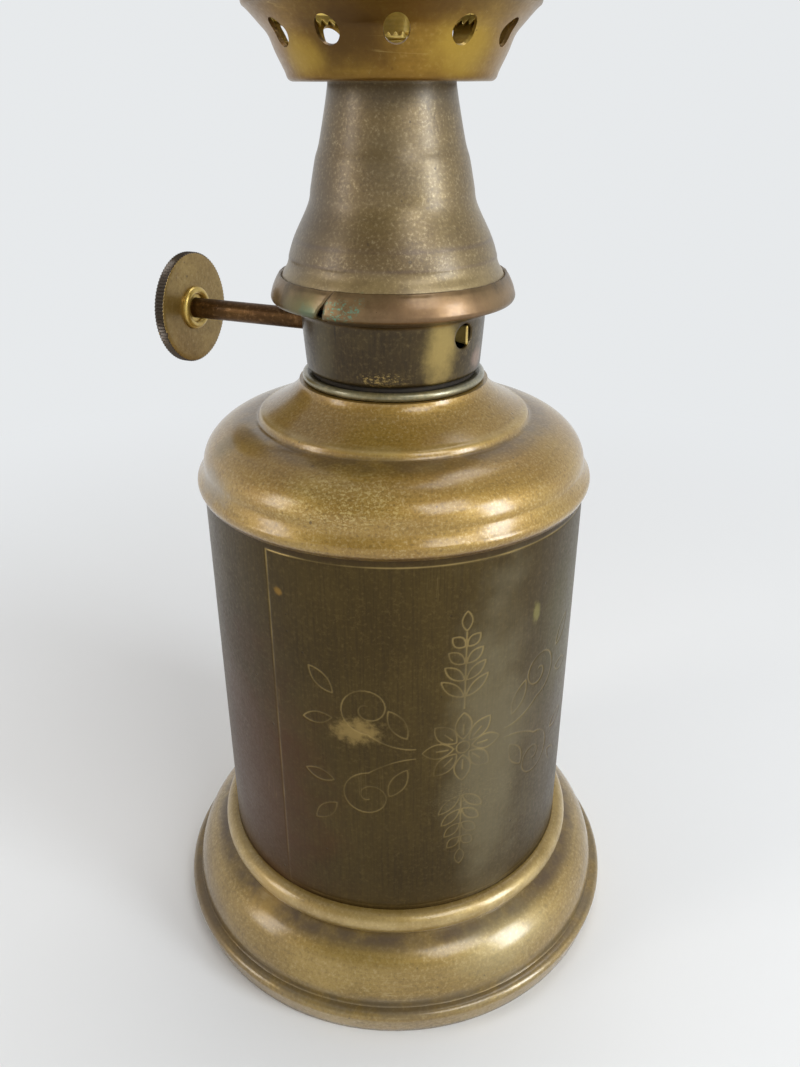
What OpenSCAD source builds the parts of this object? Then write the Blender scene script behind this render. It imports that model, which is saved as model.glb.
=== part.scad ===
// Small spirit lamp in brass: a felt filled tank on a spun foot, a screw burner with a wick raiser,
// and a push-on gallery that carries a glass chimney.
// Millimetres. The origin is the centre of the foot on the table, +Z is up, and the viewer stands at -Y.

/* [Foot] */
// Widest diameter of the foot, across its lip
foot_d = 80; // [73:0.5:90]
// How far the foot draws in below its lip, down to the table
foot_rest_in = 0.8; // [0.3:0.05:1.4]
// Width of the flat ring that the foot stands on
foot_ring_w = 2.1; // [1.6:0.1:4]
// Height of the foot's rolled lip
foot_lip_h = 4.85; // [4.2:0.05:6]
// Rounding of the lip's upper edge
foot_lip_round = 1.1; // [0.9:0.05:1.5]
// How far the groove between lip and moulding lies in from the lip
foot_groove_in = 1.8; // [1.4:0.1:3]
// Height of the big moulding above the groove
foot_moulding_h = 9.1; // [7:0.1:12]
// How far the bead that hugs the tank stands out from it
foot_bead_w = 2.3; // [1.6:0.1:3]
// Height of the bead
foot_bead_h = 4.2; // [3.4:0.1:5]
// Sheet thickness of the foot
foot_wall = 0.8; // [0.6:0.05:1]
// Thickness of the plate that closes the foot's underside
foot_plate_t = 0.6; // [0.4:0.05:1]
// How far the middle of that plate is pressed up
foot_plate_rise = 2.2; // [1:0.1:4]

/* [Tank] */
// Outer diameter of the tank
tank_d = 60.4; // [58:0.2:62]
// Height of the tank's cylinder
tank_h = 77.5; // [60:0.5:100]
// Height of the cylinder's lower edge above the table
tank_lift = 8; // [6.5:0.1:10]
// Sheet thickness of the tank
tank_wall = 0.6; // [0.4:0.05:0.8]
// Height of the turned-up rim of the tank's floor
tank_floor_rim_h = 3.6; // [2:0.1:6]
// Height of the felt filling
felt_h = 68; // [40:0.5:68]
// Outer diameter of the slotted tube that keeps the well open
well_d = 12.2; // [11:0.1:16]
// Sheet thickness of the well tube
well_wall = 0.5; // [0.3:0.05:0.8]
// Height of the well tube
well_h = 72; // [50:0.5:76]
// Width of each slot in the well tube
well_slot_w = 2; // [1:0.1:3]

/* [Shoulder] */
// How far the shoulder's lip laps down over the tank
shoulder_lap = 2; // [1.5:0.1:3]
// How far that lip stands out from the tank
shoulder_lip_w = 0.95; // [0.7:0.05:1.3]
// Height of the outer dome above its lip
shoulder_dome_h = 6.7; // [5:0.1:9]
// Diameter of the valley inside the outer dome
shoulder_valley_d = 42.2; // [39:0.2:46]
// Height of the ridge above the valley
shoulder_ridge_h = 1.2; // [0.8:0.1:2]
// Height of the inner cone above the ridge
shoulder_cone_h = 4.6; // [3:0.1:7]
// Sheet thickness of the shoulder
shoulder_wall = 0.7; // [0.5:0.05:0.8]

/* [Neck] */
// How far the neck ring's pale lip stands out from the neck
neck_lip_w = 0.85; // [0.65:0.05:1.3]
// Height of that lip
neck_lip_h = 1.3; // [1:0.1:2]
// Wall of the neck, outside its thread
neck_wall = 2.04; // [1.8:0.02:2.4]
// Depth of the neck below the shoulder's top
neck_depth = 6.2; // [5:0.1:9]
// Diameter of the screw thread
thread_d = 22; // [20:0.1:22.4]
// Pitch of the screw thread
thread_pitch = 1.5; // [1:0.1:2]
// Depth of the thread's grooves
thread_depth = 0.45; // [0.3:0.05:0.6]
// Radial play between plug and neck
thread_play = 0.06; // [0.02:0.01:0.1]
// Thickness of the leather washer
gasket_t = 0.7; // [0.5:0.05:1.5]
// Width of the leather washer
gasket_w = 1.3; // [1:0.1:1.5]
// Radial play of the washer round the thread
gasket_play = 0.2; // [0.1:0.05:0.3]

/* [Burner] */
// Diameter of the collar at its bottom
collar_d = 26.4; // [26:0.1:27]
// Diameter of the collar under its curl
collar_top_d = 27.5; // [27:0.1:28.4]
// Height of the collar up to its curl
collar_h = 8.9; // [8.7:0.1:11]
// Rounding of the collar's lower edge
collar_round = 0.9; // [0.6:0.05:1.2]
// How far the collar's curled edge stands out from the collar
curl_out = 4.25; // [3.9:0.05:5]
// Width of the curled edge
curl_w = 4.3; // [3.8:0.1:4.8]
// Height of the curled edge
curl_h = 5; // [4.4:0.1:5.6]
// Sheet thickness of the collar
collar_wall = 0.5; // [0.4:0.05:0.6]
// Diameter of the small round hole in the collar's front
lug_hole_d = 3.6; // [2.5:0.1:4]
// Height of that hole above the collar's lower edge
lug_hole_h = 6.6; // [4:0.1:6.8]
// Bearing of that hole, in degrees from the viewer, positive to the right
lug_hole_bearing = 47; // [0:0.5:60]
// Wall of the threaded plug
plug_wall = 1.4; // [1.2:0.1:2]
// Height of the threaded plug
plug_h = 7; // [5:0.1:8]
// Thickness of the plug's floor
plug_floor_t = 1.2; // [0.8:0.1:2]
// Outer diameter of the wick tube
wick_tube_d = 6.4; // [6.2:0.1:6.6]
// Wall of the wick tube
wick_tube_wall = 0.4; // [0.3:0.05:0.45]
// Length of the wick tube below the plug
wick_tube_drop = 56; // [20:0.5:62]
// Height of the wick tube's mouth above the cone's top
wick_tube_rise = 5; // [3:0.1:8]

/* [Cone] */
// Radial play of the cone's foot flange in the curl
cone_flange_play = 0.2; // [0.15:0.05:0.5]
// How far the cone's foot lies in from the curl's edge
cone_foot_in = 2.3; // [2.25:0.05:2.8]
// Diameter at the first rolled step
cone_low_d = 28.2; // [27:0.1:29.5]
// Height of the first step above the curl
cone_low_h = 5; // [4:0.1:6]
// Diameter at the second rolled step
cone_mid_d = 23; // [22:0.1:25]
// Height of the second step above the curl
cone_mid_h = 11.6; // [10:0.1:13]
// Diameter at the third rolled step
cone_high_d = 21.3; // [20:0.1:22]
// Height of the third step above the curl
cone_high_h = 15.8; // [14.6:0.1:16.4]
// Diameter of the cone's straight neck, where the gallery sits
cone_top_d = 17.4; // [16.8:0.1:17.8]
// Height of the cone up to that neck
cone_h = 24.4; // [22:0.1:30]
// Height of the straight neck
cone_neck_h = 4; // [3.8:0.1:8]
// Sheet thickness of the cone
cone_wall = 0.5; // [0.4:0.05:0.6]
// Depth of the centring plate below the top of the cone's neck
plate_drop = 0.3; // [0.1:0.1:1.5]
// Height of the centring plate's collar round the wick tube
plate_collar_h = 2.2; // [1:0.1:3]
// Wall of that collar
plate_collar_t = 0.9; // [0.6:0.1:1.3]
// Diameter of the air holes in the centring plate
plate_hole_d = 2.6; // [1.6:0.1:2.8]

/* [Wick raiser] */
// Bearing of the knob shaft, in degrees from the viewer, negative to the left
shaft_bearing = -113.5; // [-180:0.5:180]
// How far the shaft passes in front of the lamp's axis
shaft_offset = 3.6; // [3.5:0.05:4]
// Height of the shaft above the collar's lower edge
shaft_h = 6.6; // [5.5:0.1:6.9]
// Diameter of the shaft outside the collar
shaft_d = 3.1; // [2.8:0.05:3.3]
// Diameter of the shaft where it turns in its bracket
journal_d = 2.4; // [2.2:0.05:2.5]
// Radial play of the shaft in its bracket
journal_play = 0.05; // [0.02:0.01:0.1]
// Radial play of the shaft in the collar's hole
shaft_hole_play = 0.325; // [0.2:0.025:0.5]
// Width of the ring that keeps the shaft from sliding out
shaft_ring_w = 1; // [0.8:0.1:1.6]
// Distance from the lamp's axis to the middle of the thumb wheel, along the shaft
wheel_reach = 33.7; // [26:0.1:36]
// Diameter of the thumb wheel
wheel_d = 17; // [14:0.1:18]
// Thickness of the thumb wheel
wheel_t = 1.6; // [1.4:0.1:2.4]
// Number of notches milled in the wheel's edge
wheel_notches = 96; // [48:1:110]
// Depth of those notches
wheel_notch_depth = 0.2; // [0.1:0.05:0.3]
// Diameter of the bright ferrule in the wheel
ferrule_d = 6.7; // [6:0.1:8]
// Thickness of the ferrule's head on each side of the wheel
ferrule_head_t = 0.8; // [0.5:0.05:1.2]
// Diameter over the spur wheel's teeth
spur_d = 3.8; // [3.5:0.05:3.9]
// Number of teeth on the spur wheel
spur_teeth = 10; // [8:1:12]
// Width of the spur wheel
spur_w = 2.4; // [1.6:0.1:2.8]
// Thickness of the bracket's sheet
bracket_t = 0.8; // [0.6:0.05:1]
// Height of the bracket
bracket_h = 5; // [4.4:0.1:6]
// Radial play of the round wick in its tube
wick_play = 0.1; // [0.05:0.05:0.3]
// How far the wick stands out of its tube at rest
wick_out = 1.6; // [0.5:0.1:3]
// Height of the wick's lower end above the tank's floor
wick_end_h = 6; // [4.5:0.5:20]

/* [Gallery] */
// Diameter of the gallery's flat bottom
gallery_bottom_d = 28.2; // [27.6:0.1:29.4]
// How far the gallery's bulged rim stands out from the band above it
gallery_rim_out = 0.9; // [0.7:0.05:1.6]
// Height of the bulged rim above the gallery's bottom
gallery_rim_h = 9.2; // [8:0.1:11]
// Diameter of the band above the rim
gallery_band_d = 37.2; // [35:0.1:42]
// Height of that band
gallery_band_h = 3.6; // [3:0.1:6]
// Sheet thickness of the gallery
gallery_wall = 0.5; // [0.4:0.05:0.6]
// Number of round air holes in the gallery
air_holes = 12; // [8:1:16]
// Diameter of the air holes
air_hole_d = 3.2; // [2.6:0.1:4]
// Height of the air holes above the gallery's bottom
air_hole_h = 5.4; // [4.6:0.1:6.4]
// Bearing of the air hole that faces the viewer, in degrees
air_hole_bearing = 2; // [-15:0.5:15]
// Number of small holes in each ring of the gallery's floor
floor_holes = 20; // [12:1:24]
// Diameter of those small holes
floor_hole_d = 1.2; // [0.8:0.1:1.3]
// Play of the gallery's sleeve on the cone's neck
sleeve_play = 0.05; // [0.02:0.01:0.1]
// Wall of the sleeve
sleeve_wall = 0.45; // [0.3:0.05:0.6]
// Length of the sleeve
sleeve_h = 3.6; // [2.4:0.1:3.7]
// Number of spring fingers that hold the glass
fingers = 12; // [6:1:16]
// Height of the spring fingers above the ledge
finger_h = 6.5; // [5:0.1:10]
// Width of the slots between the fingers
finger_slot_w = 1.6; // [1:0.1:2.5]

/* [Chimney] */
// Radial play of the chimney's base between the spring fingers
chimney_play = 0.3; // [0.2:0.05:0.6]
// How far the chimney's belly stands out from its base
chimney_belly_out = 2; // [0.5:0.1:5]
// Outer diameter of its mouth
chimney_mouth_d = 26; // [22:0.1:32]
// Height of the chimney
chimney_h = 105; // [80:0.5:130]
// Height of the chimney's straight base
chimney_base_h = 9; // [8:0.1:14]
// Height of the belly above the chimney's base
chimney_belly_h = 25; // [20:0.5:34]
// Thickness of the glass
glass_t = 1.5; // [1.2:0.1:2]

/* [Hidden] */
$fn = 96;

// Small gaps: between soldered or loose pieces of one body, and through a cut face
gap = 0.3;
slip = 0.1;
cut = 1;
// Width of the turned-in edge that carries the gallery's floor
floor_seat_w = 1.2;

// Small steps in the outlines
floor_recess = 0.4;
bead_groove_w = 0.4;
plate_rim_w = 6;
plate_slope_w = 3;
floor_corner = 1;
dome_rise = 1.7;
dome_inset = 0.2;
dome_foot_in = 0.6;
ridge_in = 0.95;
neck_dish_w = 0.5;
well_slot_lift = 6;
well_slot_short = 16;
plug_vent_r = 1;
collar_roll = 0.4;
curl_root = [0.65, 0.25];
shaft_ring_t = 0.7;
ferrule_neck_t = 0.6;
shaft_stub = 0.4;
gallery_seat = 0.2;
gallery_bottom_round = 0.9;
gallery_rim_round = 0.7;
rim_to_band = 1.3;
inner_holes_out = 1.2;
ledge_grip = 0.5;
finger_root = 2;

// Radii
foot_r = foot_d / 2;
foot_rest_r = foot_r - foot_rest_in;
foot_groove_r = foot_r - foot_groove_in;
tank_r = tank_d / 2;
foot_bead_r = tank_r + foot_bead_w;
tank_in_r = tank_r - tank_wall;
well_r = well_d / 2;
valley_r = shoulder_valley_d / 2;
thread_r = thread_d / 2;
neck_r = thread_r + thread_play + neck_wall;
neck_lip_r = neck_r + neck_lip_w;
gasket_in_r = thread_r + gasket_play;
gasket_r = gasket_in_r + gasket_w;
plug_in_r = thread_r - plug_wall;
collar_r = collar_d / 2;
collar_top_r = collar_top_d / 2;
curl_r = collar_top_r + curl_out;
cone_flange_r = curl_r - collar_wall - cone_flange_play;
cone_foot_r = curl_r - cone_foot_in;
cone_neck_r = cone_top_d / 2;
cone_neck_in_r = cone_neck_r - cone_wall;
tube_r = wick_tube_d / 2;
tube_in_r = tube_r - wick_tube_wall;
wick_r = tube_in_r - wick_play;
journal_r = journal_d / 2;
wheel_r = wheel_d / 2;
gallery_bottom_r = gallery_bottom_d / 2;
gallery_band_r = gallery_band_d / 2;
gallery_rim_r = gallery_band_r + gallery_rim_out;
band_in_r = gallery_band_r - gallery_wall;
chimney_base_r = band_in_r - gallery_wall - chimney_play;

// Heights, from the table up
groove_z = foot_lip_h;
moulding_top_z = groove_z + foot_moulding_h;
bead_top_z = moulding_top_z + foot_bead_h;
tank_floor_z = tank_lift + floor_recess;
tank_floor_top_z = tank_floor_z + tank_wall;
tank_top_z = tank_lift + tank_h;
dome_z = tank_top_z + dome_rise;
valley_z = dome_z + shoulder_dome_h;
ridge_z = valley_z + shoulder_ridge_h;
shoulder_top_z = ridge_z + shoulder_cone_h;
neck_face_z = shoulder_top_z + neck_lip_h - gap;
collar_z = neck_face_z + gasket_t;
collar_top_z = collar_z + collar_h;
curl_mid_z = collar_top_z + gap + curl_h / 2;
curl_top_z = curl_mid_z + curl_h / 2;
cone_neck_z = curl_top_z + cone_h;
cone_top_z = cone_neck_z + cone_neck_h;
shaft_z = collar_z + shaft_h;
tube_top_z = cone_top_z + wick_tube_rise;
plug_z = collar_z - plug_h;
gallery_z = cone_neck_z + gallery_seat;
rim_z = gallery_z + gallery_rim_h;
band_z = rim_z + rim_to_band;
ledge_z = band_z + slip;
chimney_z = ledge_z + gallery_wall;

// Where the curl's oval section sits
curl_half_w = curl_w / 2;
curl_mid_r = curl_r - curl_half_w;

// Spur wheel's bite: the wick has a flat that the teeth have pressed
spur_r = spur_d / 2;
wick_flat = shaft_offset - spur_r - slip;
slot_half = sqrt(pow(tube_r, 2) - pow(shaft_offset - journal_r - slip, 2)) + slip;
cheek_in = max(spur_w / 2 + gap, slot_half);
cheek_out = cheek_in + bracket_t;
bracket_back = shaft_offset + spur_r + gap;

// Outline helpers

// Points of an arc with half axes rx and rz about c, from angle a0 to a1
function arc(c, rx, rz, a0, a1, n) =
    [for (i = [0 : n]) let (a = a0 + (a1 - a0) * i / n) [c[0] + rx * cos(a), c[1] + rz * sin(a)]];

// One span of a smooth curve through b and c, with a and d as its neighbours
function span_point(a, b, c, d, t) =
    0.5 * (2 * b + (c - a) * t + (2 * a - 5 * b + 4 * c - d) * t * t + (3 * b - a - 3 * c + d) * t * t * t);

// A smooth curve through all points of p, with n steps a span
function smooth_path(p, n) = let (last = len(p) - 1) concat(
    [for (i = [0 : last - 1], k = [0 : n - 1])
        span_point(p[max(i - 1, 0)], p[i], p[i + 1], p[min(i + 2, last)], k / n)],
    [p[last]]);

function left_of(v) = [-v[1], v[0]] / norm(v);

// The path moved to the left of its own direction by t
function moved_left(p, t) = let (last = len(p) - 1) [for (i = [0 : last])
    let (before = left_of(p[max(i, 1)] - p[max(i, 1) - 1]),
         after = left_of(p[min(i + 1, last)] - p[min(i + 1, last) - 1]),
         middle = (before + after) / norm(before + after))
    p[i] + middle * t / max(0.5, middle * after)];

function reversed(p) = [for (i = [len(p) - 1 : -1 : 0]) p[i]];

// Section of a sheet of thickness t whose outer face follows p
function sheet(p, t) = concat(p, reversed(moved_left(p, t)));

module turned(section) { rotate_extrude(convexity = 8) polygon(section); }

module ring(r_out, r_in, z0, z1) {
    translate([0, 0, z0]) difference() {
        cylinder(r = r_out, h = z1 - z0);
        translate([0, 0, -cut]) cylinder(r = r_in, h = z1 - z0 + 2 * cut);
    }
}

// Turns and moves children so that their Z axis runs along the knob shaft, outwards
module on_shaft() { beside_axis() translate([0, shaft_offset, 0]) rotate([0, 90, 0]) children(); }

// On the lamp's axis at the shaft's height, with X along the shaft and Y towards the shaft
module beside_axis() { translate([0, 0, shaft_z]) rotate([0, 0, shaft_bearing - 90]) children(); }

module ring_of(count, radius, first = 0) {
    for (i = [0 : count - 1]) rotate([0, 0, first + i * 360 / count]) translate([radius, 0, 0]) children();
}

// The tank and its foot

moulding_end_a = 72;
moulding_end_r = foot_bead_r + bead_groove_w;
moulding_mid_r = (moulding_end_r - foot_groove_r * cos(moulding_end_a)) / (1 - cos(moulding_end_a));
bead_half_h = foot_bead_h / 2;
bead_half_w = foot_bead_r - tank_r - slip;
foot_path = concat(
    [[foot_rest_r - gap - foot_ring_w, 0], [foot_rest_r - gap, 0], [foot_rest_r, gap]],
    arc([foot_r - foot_lip_round, foot_lip_h - foot_lip_round], foot_lip_round, foot_lip_round, -12, 90, 8),
    [[foot_groove_r + slip, groove_z]],
    arc([moulding_mid_r, groove_z], foot_groove_r - moulding_mid_r,
        foot_moulding_h / sin(moulding_end_a), 1, moulding_end_a, 16),
    arc([tank_r + slip, moulding_top_z + bead_half_h], bead_half_w, bead_half_h, -48, 90, 12),
    [[tank_r, bead_top_z]]);

module base_shell() {
    color([0.55, 0.44, 0.20]) turned(sheet(foot_path, foot_wall));
}

foot_plate_r = foot_rest_r - foot_wall - gap;
foot_plate_path = [[0, foot_wall + foot_plate_rise],
                   [foot_plate_r - plate_rim_w - plate_slope_w, foot_wall + foot_plate_rise],
                   [foot_plate_r - plate_rim_w, foot_wall], [foot_plate_r, foot_wall]];

module foot_plate() {
    color([0.42, 0.34, 0.17]) turned(sheet(foot_plate_path, foot_plate_t));
}

module tank_body() {
    color([0.36, 0.29, 0.13]) ring(tank_r, tank_in_r, tank_lift, tank_top_z);
}

tank_floor_path = concat(
    [[0, tank_floor_z]],
    arc([tank_in_r - floor_corner, tank_floor_z + floor_corner], floor_corner, floor_corner, -90, 0, 6),
    [[tank_in_r, tank_floor_z + tank_floor_rim_h]]);

module tank_floor() {
    color([0.48, 0.38, 0.18]) turned(sheet(tank_floor_path, tank_wall));
}

lip_mid_z = tank_top_z - shoulder_lap / 3;
lip_path = concat(
    [[tank_r + shoulder_lip_w / 2, tank_top_z - shoulder_lap]],
    arc([tank_r, lip_mid_z], shoulder_lip_w, shoulder_lap * 0.6, -35, 50, 6));
dome_mid_r = valley_r - dome_foot_in;
dome_path = arc([dome_mid_r, dome_z], tank_r - dome_inset - dome_mid_r, shoulder_dome_h, 0, 84, 14);
inner_cone_r = valley_r - ridge_in;
ridge_path = [[valley_r - 0.15, valley_z + 0.35], [valley_r - 0.5, ridge_z - 0.3], [inner_cone_r, ridge_z]];
inner_cone_top_r = neck_lip_r + neck_dish_w;
inner_cone_path = [for (u = [0.1 : 0.1 : 1])
    [inner_cone_top_r + (inner_cone_r - inner_cone_top_r) * pow(1 - u, 1.6), ridge_z + shoulder_cone_h * u]];
shoulder_path = concat(dome_path, ridge_path, inner_cone_path, [[neck_r, shoulder_top_z]]);
shoulder_section = concat(
    lip_path, shoulder_path, reversed(moved_left(shoulder_path, shoulder_wall)),
    [[tank_in_r, tank_top_z], [tank_r, tank_top_z], [tank_r, tank_top_z - shoulder_lap]]);

module shoulder_cap() {
    color([0.60, 0.48, 0.24]) turned(shoulder_section);
}

// Pointed grooves of one thread, cut inwards from radius r, or outwards where depth is negative
module thread_grooves(r, z0, z1, depth) {
    count = floor((z1 - z0) / thread_pitch);
    for (i = [0 : count - 1]) translate([0, 0, z0 + (i + 0.5) * thread_pitch])
        rotate_extrude() polygon([[r + depth / 9, -thread_pitch * 0.3], [r - depth, 0],
                                  [r + depth / 9, thread_pitch * 0.3]]);
}

neck_bore_r = thread_r + thread_play;
neck_bottom_z = shoulder_top_z - neck_depth;
neck_lip_half = neck_lip_h / 2;
neck_lip_mid = [neck_lip_r - neck_lip_half, shoulder_top_z + neck_lip_half];
neck_section = concat(
    [[neck_bore_r, neck_bottom_z], [neck_r, neck_bottom_z], [neck_r, shoulder_top_z]],
    arc(neck_lip_mid, neck_lip_half, neck_lip_half, -90, 110, 12),
    [[gasket_r + slip, neck_face_z], [neck_bore_r, neck_face_z]]);

module neck_socket() {
    color([0.62, 0.60, 0.50]) difference() {
        turned(neck_section);
        thread_grooves(neck_bore_r, neck_bottom_z, neck_face_z - gap, -thread_depth);
    }
}

module felt_filling() {
    color([0.78, 0.74, 0.64])
        ring(tank_in_r - floor_corner - slip, well_r, tank_floor_top_z, tank_floor_top_z + felt_h);
}

module well_tube() {
    slot_z0 = tank_floor_top_z + well_slot_lift;
    slot_h = felt_h - well_slot_short;
    color([0.66, 0.64, 0.58]) difference() {
        ring(well_r, well_r - well_wall, tank_floor_top_z, tank_floor_top_z + well_h);
        for (turn = [0, 90]) rotate([0, 0, turn]) translate([-well_r - cut, -well_slot_w / 2, slot_z0])
            cube([2 * (well_r + cut), well_slot_w, slot_h]);
    }
}

module neck_gasket() {
    color([0.30, 0.20, 0.12]) ring(gasket_r, gasket_in_r, neck_face_z, collar_z);
}

// The burner

module burner_plug() {
    color([0.66, 0.54, 0.28]) difference() {
        translate([0, 0, plug_z]) cylinder(r = thread_r, h = plug_h);
        translate([0, 0, plug_z + plug_floor_t]) cylinder(r = plug_in_r, h = plug_h);
        translate([0, 0, plug_z - cut]) cylinder(r = tube_r, h = plug_h);
        translate([0, 0, plug_z - cut]) ring_of(4, (tube_r + plug_in_r) / 2, 45)
            cylinder(r = plug_vent_r, h = plug_h);
        thread_grooves(thread_r, plug_z + gap, collar_z - gap, thread_depth);
    }
}

curl_mid = [curl_mid_r, curl_mid_z];
collar_path = concat(
    [[plug_in_r, collar_z]],
    arc([collar_r - collar_round, collar_z + collar_round], collar_round, collar_round, -90, -5, 6),
    [[(collar_r + collar_top_r) / 2, (collar_z + collar_top_z) / 2]],
    [[collar_top_r, collar_top_z - collar_roll]],
    [[collar_top_r + collar_roll / 2, collar_top_z], [collar_top_r, collar_top_z] + curl_root],
    arc(curl_mid, curl_half_w, curl_h / 2, -92, 72, 20));

module burner_collar() {
    color([0.42, 0.34, 0.18]) difference() {
        turned(sheet(collar_path, collar_wall));
        on_shaft() cylinder(r = shaft_d / 2 + shaft_hole_play, h = curl_r);
        translate([0, 0, collar_z + lug_hole_h]) rotate([0, 0, lug_hole_bearing - 90]) rotate([0, 90, 0])
            cylinder(d = lug_hole_d, h = curl_r);
    }
}

cone_side = smooth_path([
    [cone_foot_r + 0.05, curl_top_z + 0.4],
    [(cone_foot_r + cone_low_d / 2) / 2 + 0.15, curl_top_z + cone_low_h / 2],
    [cone_low_d / 2, curl_top_z + cone_low_h], [cone_mid_d / 2 + 0.5, curl_top_z + cone_mid_h - 2.4],
    [cone_mid_d / 2, curl_top_z + cone_mid_h], [cone_high_d / 2, curl_top_z + cone_high_h],
    [cone_high_d / 2 - 0.7, curl_top_z + cone_high_h + 1.5], [cone_neck_r + 0.45, cone_neck_z - 2.6],
    [cone_neck_r + 0.06, cone_neck_z - 0.4]], 4);
cone_path = concat(
    [[cone_flange_r, curl_mid_z - 0.3], [cone_flange_r - 0.3, curl_mid_z + 0.2]],
    [[cone_foot_r + 0.7, curl_mid_z + 1.1], [cone_foot_r + 0.4, curl_mid_z + 1.9]],
    cone_side, [[cone_neck_r, cone_neck_z], [cone_neck_r, cone_top_z]]);

module cone_shroud() {
    color([0.45, 0.36, 0.22]) turned(sheet(cone_path, cone_wall));
}

module wick_tube() {
    color([0.60, 0.50, 0.28]) difference() {
        ring(tube_r, tube_in_r, plug_z - wick_tube_drop, tube_top_z);
        beside_axis() translate([-slot_half, slip, -spur_r - gap])
            cube([2 * slot_half, 2 * tube_r, 2 * (spur_r + gap)]);
    }
}

module tube_bracket() {
    color([0.62, 0.52, 0.28]) difference() {
        beside_axis() union() {
            for (x = [-cheek_out, cheek_in]) translate([x, slip, -bracket_h / 2])
                cube([bracket_t, bracket_back - slip, bracket_h]);
            translate([-cheek_out, bracket_back, -bracket_h / 2])
                cube([2 * cheek_out, bracket_t, bracket_h]);
        }
        translate([0, 0, shaft_z - bracket_h]) cylinder(r = tube_r, h = 2 * bracket_h);
        on_shaft() translate([0, 0, -2 * cheek_out])
            cylinder(r = journal_r + journal_play, h = 4 * cheek_out);
    }
}

module centring_plate() {
    plate_z = cone_top_z - plate_drop - cone_wall;
    plate_top_z = plate_z + cone_wall;
    plate_collar_r = tube_r + plate_collar_t;
    color([0.66, 0.54, 0.28]) difference() {
        union() {
            ring(cone_neck_in_r, tube_r, plate_z, plate_top_z);
            ring(plate_collar_r, tube_r, plate_z, plate_top_z + plate_collar_h);
        }
        translate([0, 0, plate_z - cut]) ring_of(8, (cone_neck_in_r + plate_collar_r) / 2)
            cylinder(d = plate_hole_d, h = 3 * cut);
    }
}

// The wick raiser

notch_step = 180 / wheel_notches;
wheel_edge = [for (i = [0 : 2 * wheel_notches - 1]) let (r = wheel_r - (i % 2) * wheel_notch_depth)
    [r * cos(i * notch_step), r * sin(i * notch_step)]];
ferrule_neck_r = shaft_d / 2 + ferrule_neck_t;

module thumb_wheel() {
    color([0.58, 0.48, 0.22]) on_shaft() translate([0, 0, wheel_reach - wheel_t / 2]) difference() {
        linear_extrude(height = wheel_t) polygon(wheel_edge);
        translate([0, 0, -cut]) cylinder(r = ferrule_neck_r, h = wheel_t + 2 * cut);
    }
}

ferrule_mid = wheel_t / 2;
ferrule_section = concat(
    [[shaft_d / 2, -ferrule_mid - ferrule_head_t]],
    arc([ferrule_d / 2 - ferrule_head_t, -ferrule_mid], ferrule_head_t, ferrule_head_t, -90, 0, 8),
    [[ferrule_neck_r, -ferrule_mid], [ferrule_neck_r, ferrule_mid]],
    arc([ferrule_d / 2 - ferrule_head_t, ferrule_mid], ferrule_head_t, ferrule_head_t, 0, 90, 8),
    [[shaft_d / 2, ferrule_mid + ferrule_head_t]]);

module wheel_ferrule() {
    color([0.85, 0.68, 0.25]) on_shaft() translate([0, 0, wheel_reach]) turned(ferrule_section);
}

shaft_shoulder = cheek_out + gap;
shaft_end = wheel_reach + wheel_t / 2 + ferrule_head_t + shaft_stub;
far_end = shaft_shoulder + shaft_ring_w + gap;

module knob_shaft() {
    color([0.45, 0.26, 0.15]) on_shaft() union() {
        translate([0, 0, -far_end]) cylinder(r = journal_r, h = far_end + shaft_shoulder);
        translate([0, 0, shaft_shoulder]) cylinder(d = shaft_d, h = shaft_end - shaft_shoulder);
    }
}

tooth_step = 180 / spur_teeth;
spur_edge = [for (i = [0 : 2 * spur_teeth - 1]) let (r = i % 2 == 0 ? spur_r : (spur_r + journal_r) / 2)
    [r * cos(i * tooth_step), r * sin(i * tooth_step)]];

module spur_wheel() {
    color([0.70, 0.58, 0.30]) on_shaft() translate([0, 0, -spur_w / 2]) difference() {
        linear_extrude(height = spur_w) polygon(spur_edge);
        translate([0, 0, -cut]) cylinder(r = journal_r, h = spur_w + 2 * cut);
    }
}

module shaft_ring() {
    color([0.66, 0.54, 0.28]) on_shaft()
        ring(journal_r + shaft_ring_t, journal_r, -shaft_shoulder - shaft_ring_w, -shaft_shoulder);
}

module wick() {
    wick_z0 = tank_floor_top_z + wick_end_h;
    wick_h = tube_top_z + wick_out - wick_z0;
    color([0.86, 0.82, 0.72]) difference() {
        translate([0, 0, wick_z0]) cylinder(r = wick_r, h = wick_h);
        rotate([0, 0, shaft_bearing - 90]) translate([-wick_r - cut, wick_flat, wick_z0 - cut])
            cube([2 * (wick_r + cut), wick_r, wick_h + 2 * cut]);
    }
}

// The gallery and the chimney

// A point on the gallery's side: u is its share of the way out, and v its share of the way up to the rim
function gallery_side(u, v) =
    [gallery_bottom_r + (gallery_rim_r - gallery_bottom_r) * u, gallery_z + gallery_rim_h * v];

gallery_path = concat(
    [[gallery_bottom_r - gallery_bottom_round - floor_seat_w, gallery_z]],
    arc([gallery_bottom_r - gallery_bottom_round, gallery_z + gallery_bottom_round],
        gallery_bottom_round, gallery_bottom_round, -90, -10, 6),
    smooth_path([gallery_side(0.046, 0.152), gallery_side(0.231, 0.37), gallery_side(0.389, 0.587),
        gallery_side(0.574, 0.717), gallery_side(0.852, 0.891), gallery_side(0.972, 0.951)], 3),
    arc([gallery_rim_r - gallery_rim_round, rim_z], gallery_rim_round, gallery_rim_round, 0, 75, 6),
    [[gallery_band_r + 0.15, band_z - 0.35], [gallery_band_r, band_z]],
    [[gallery_band_r, band_z + gallery_band_h]]);

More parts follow.
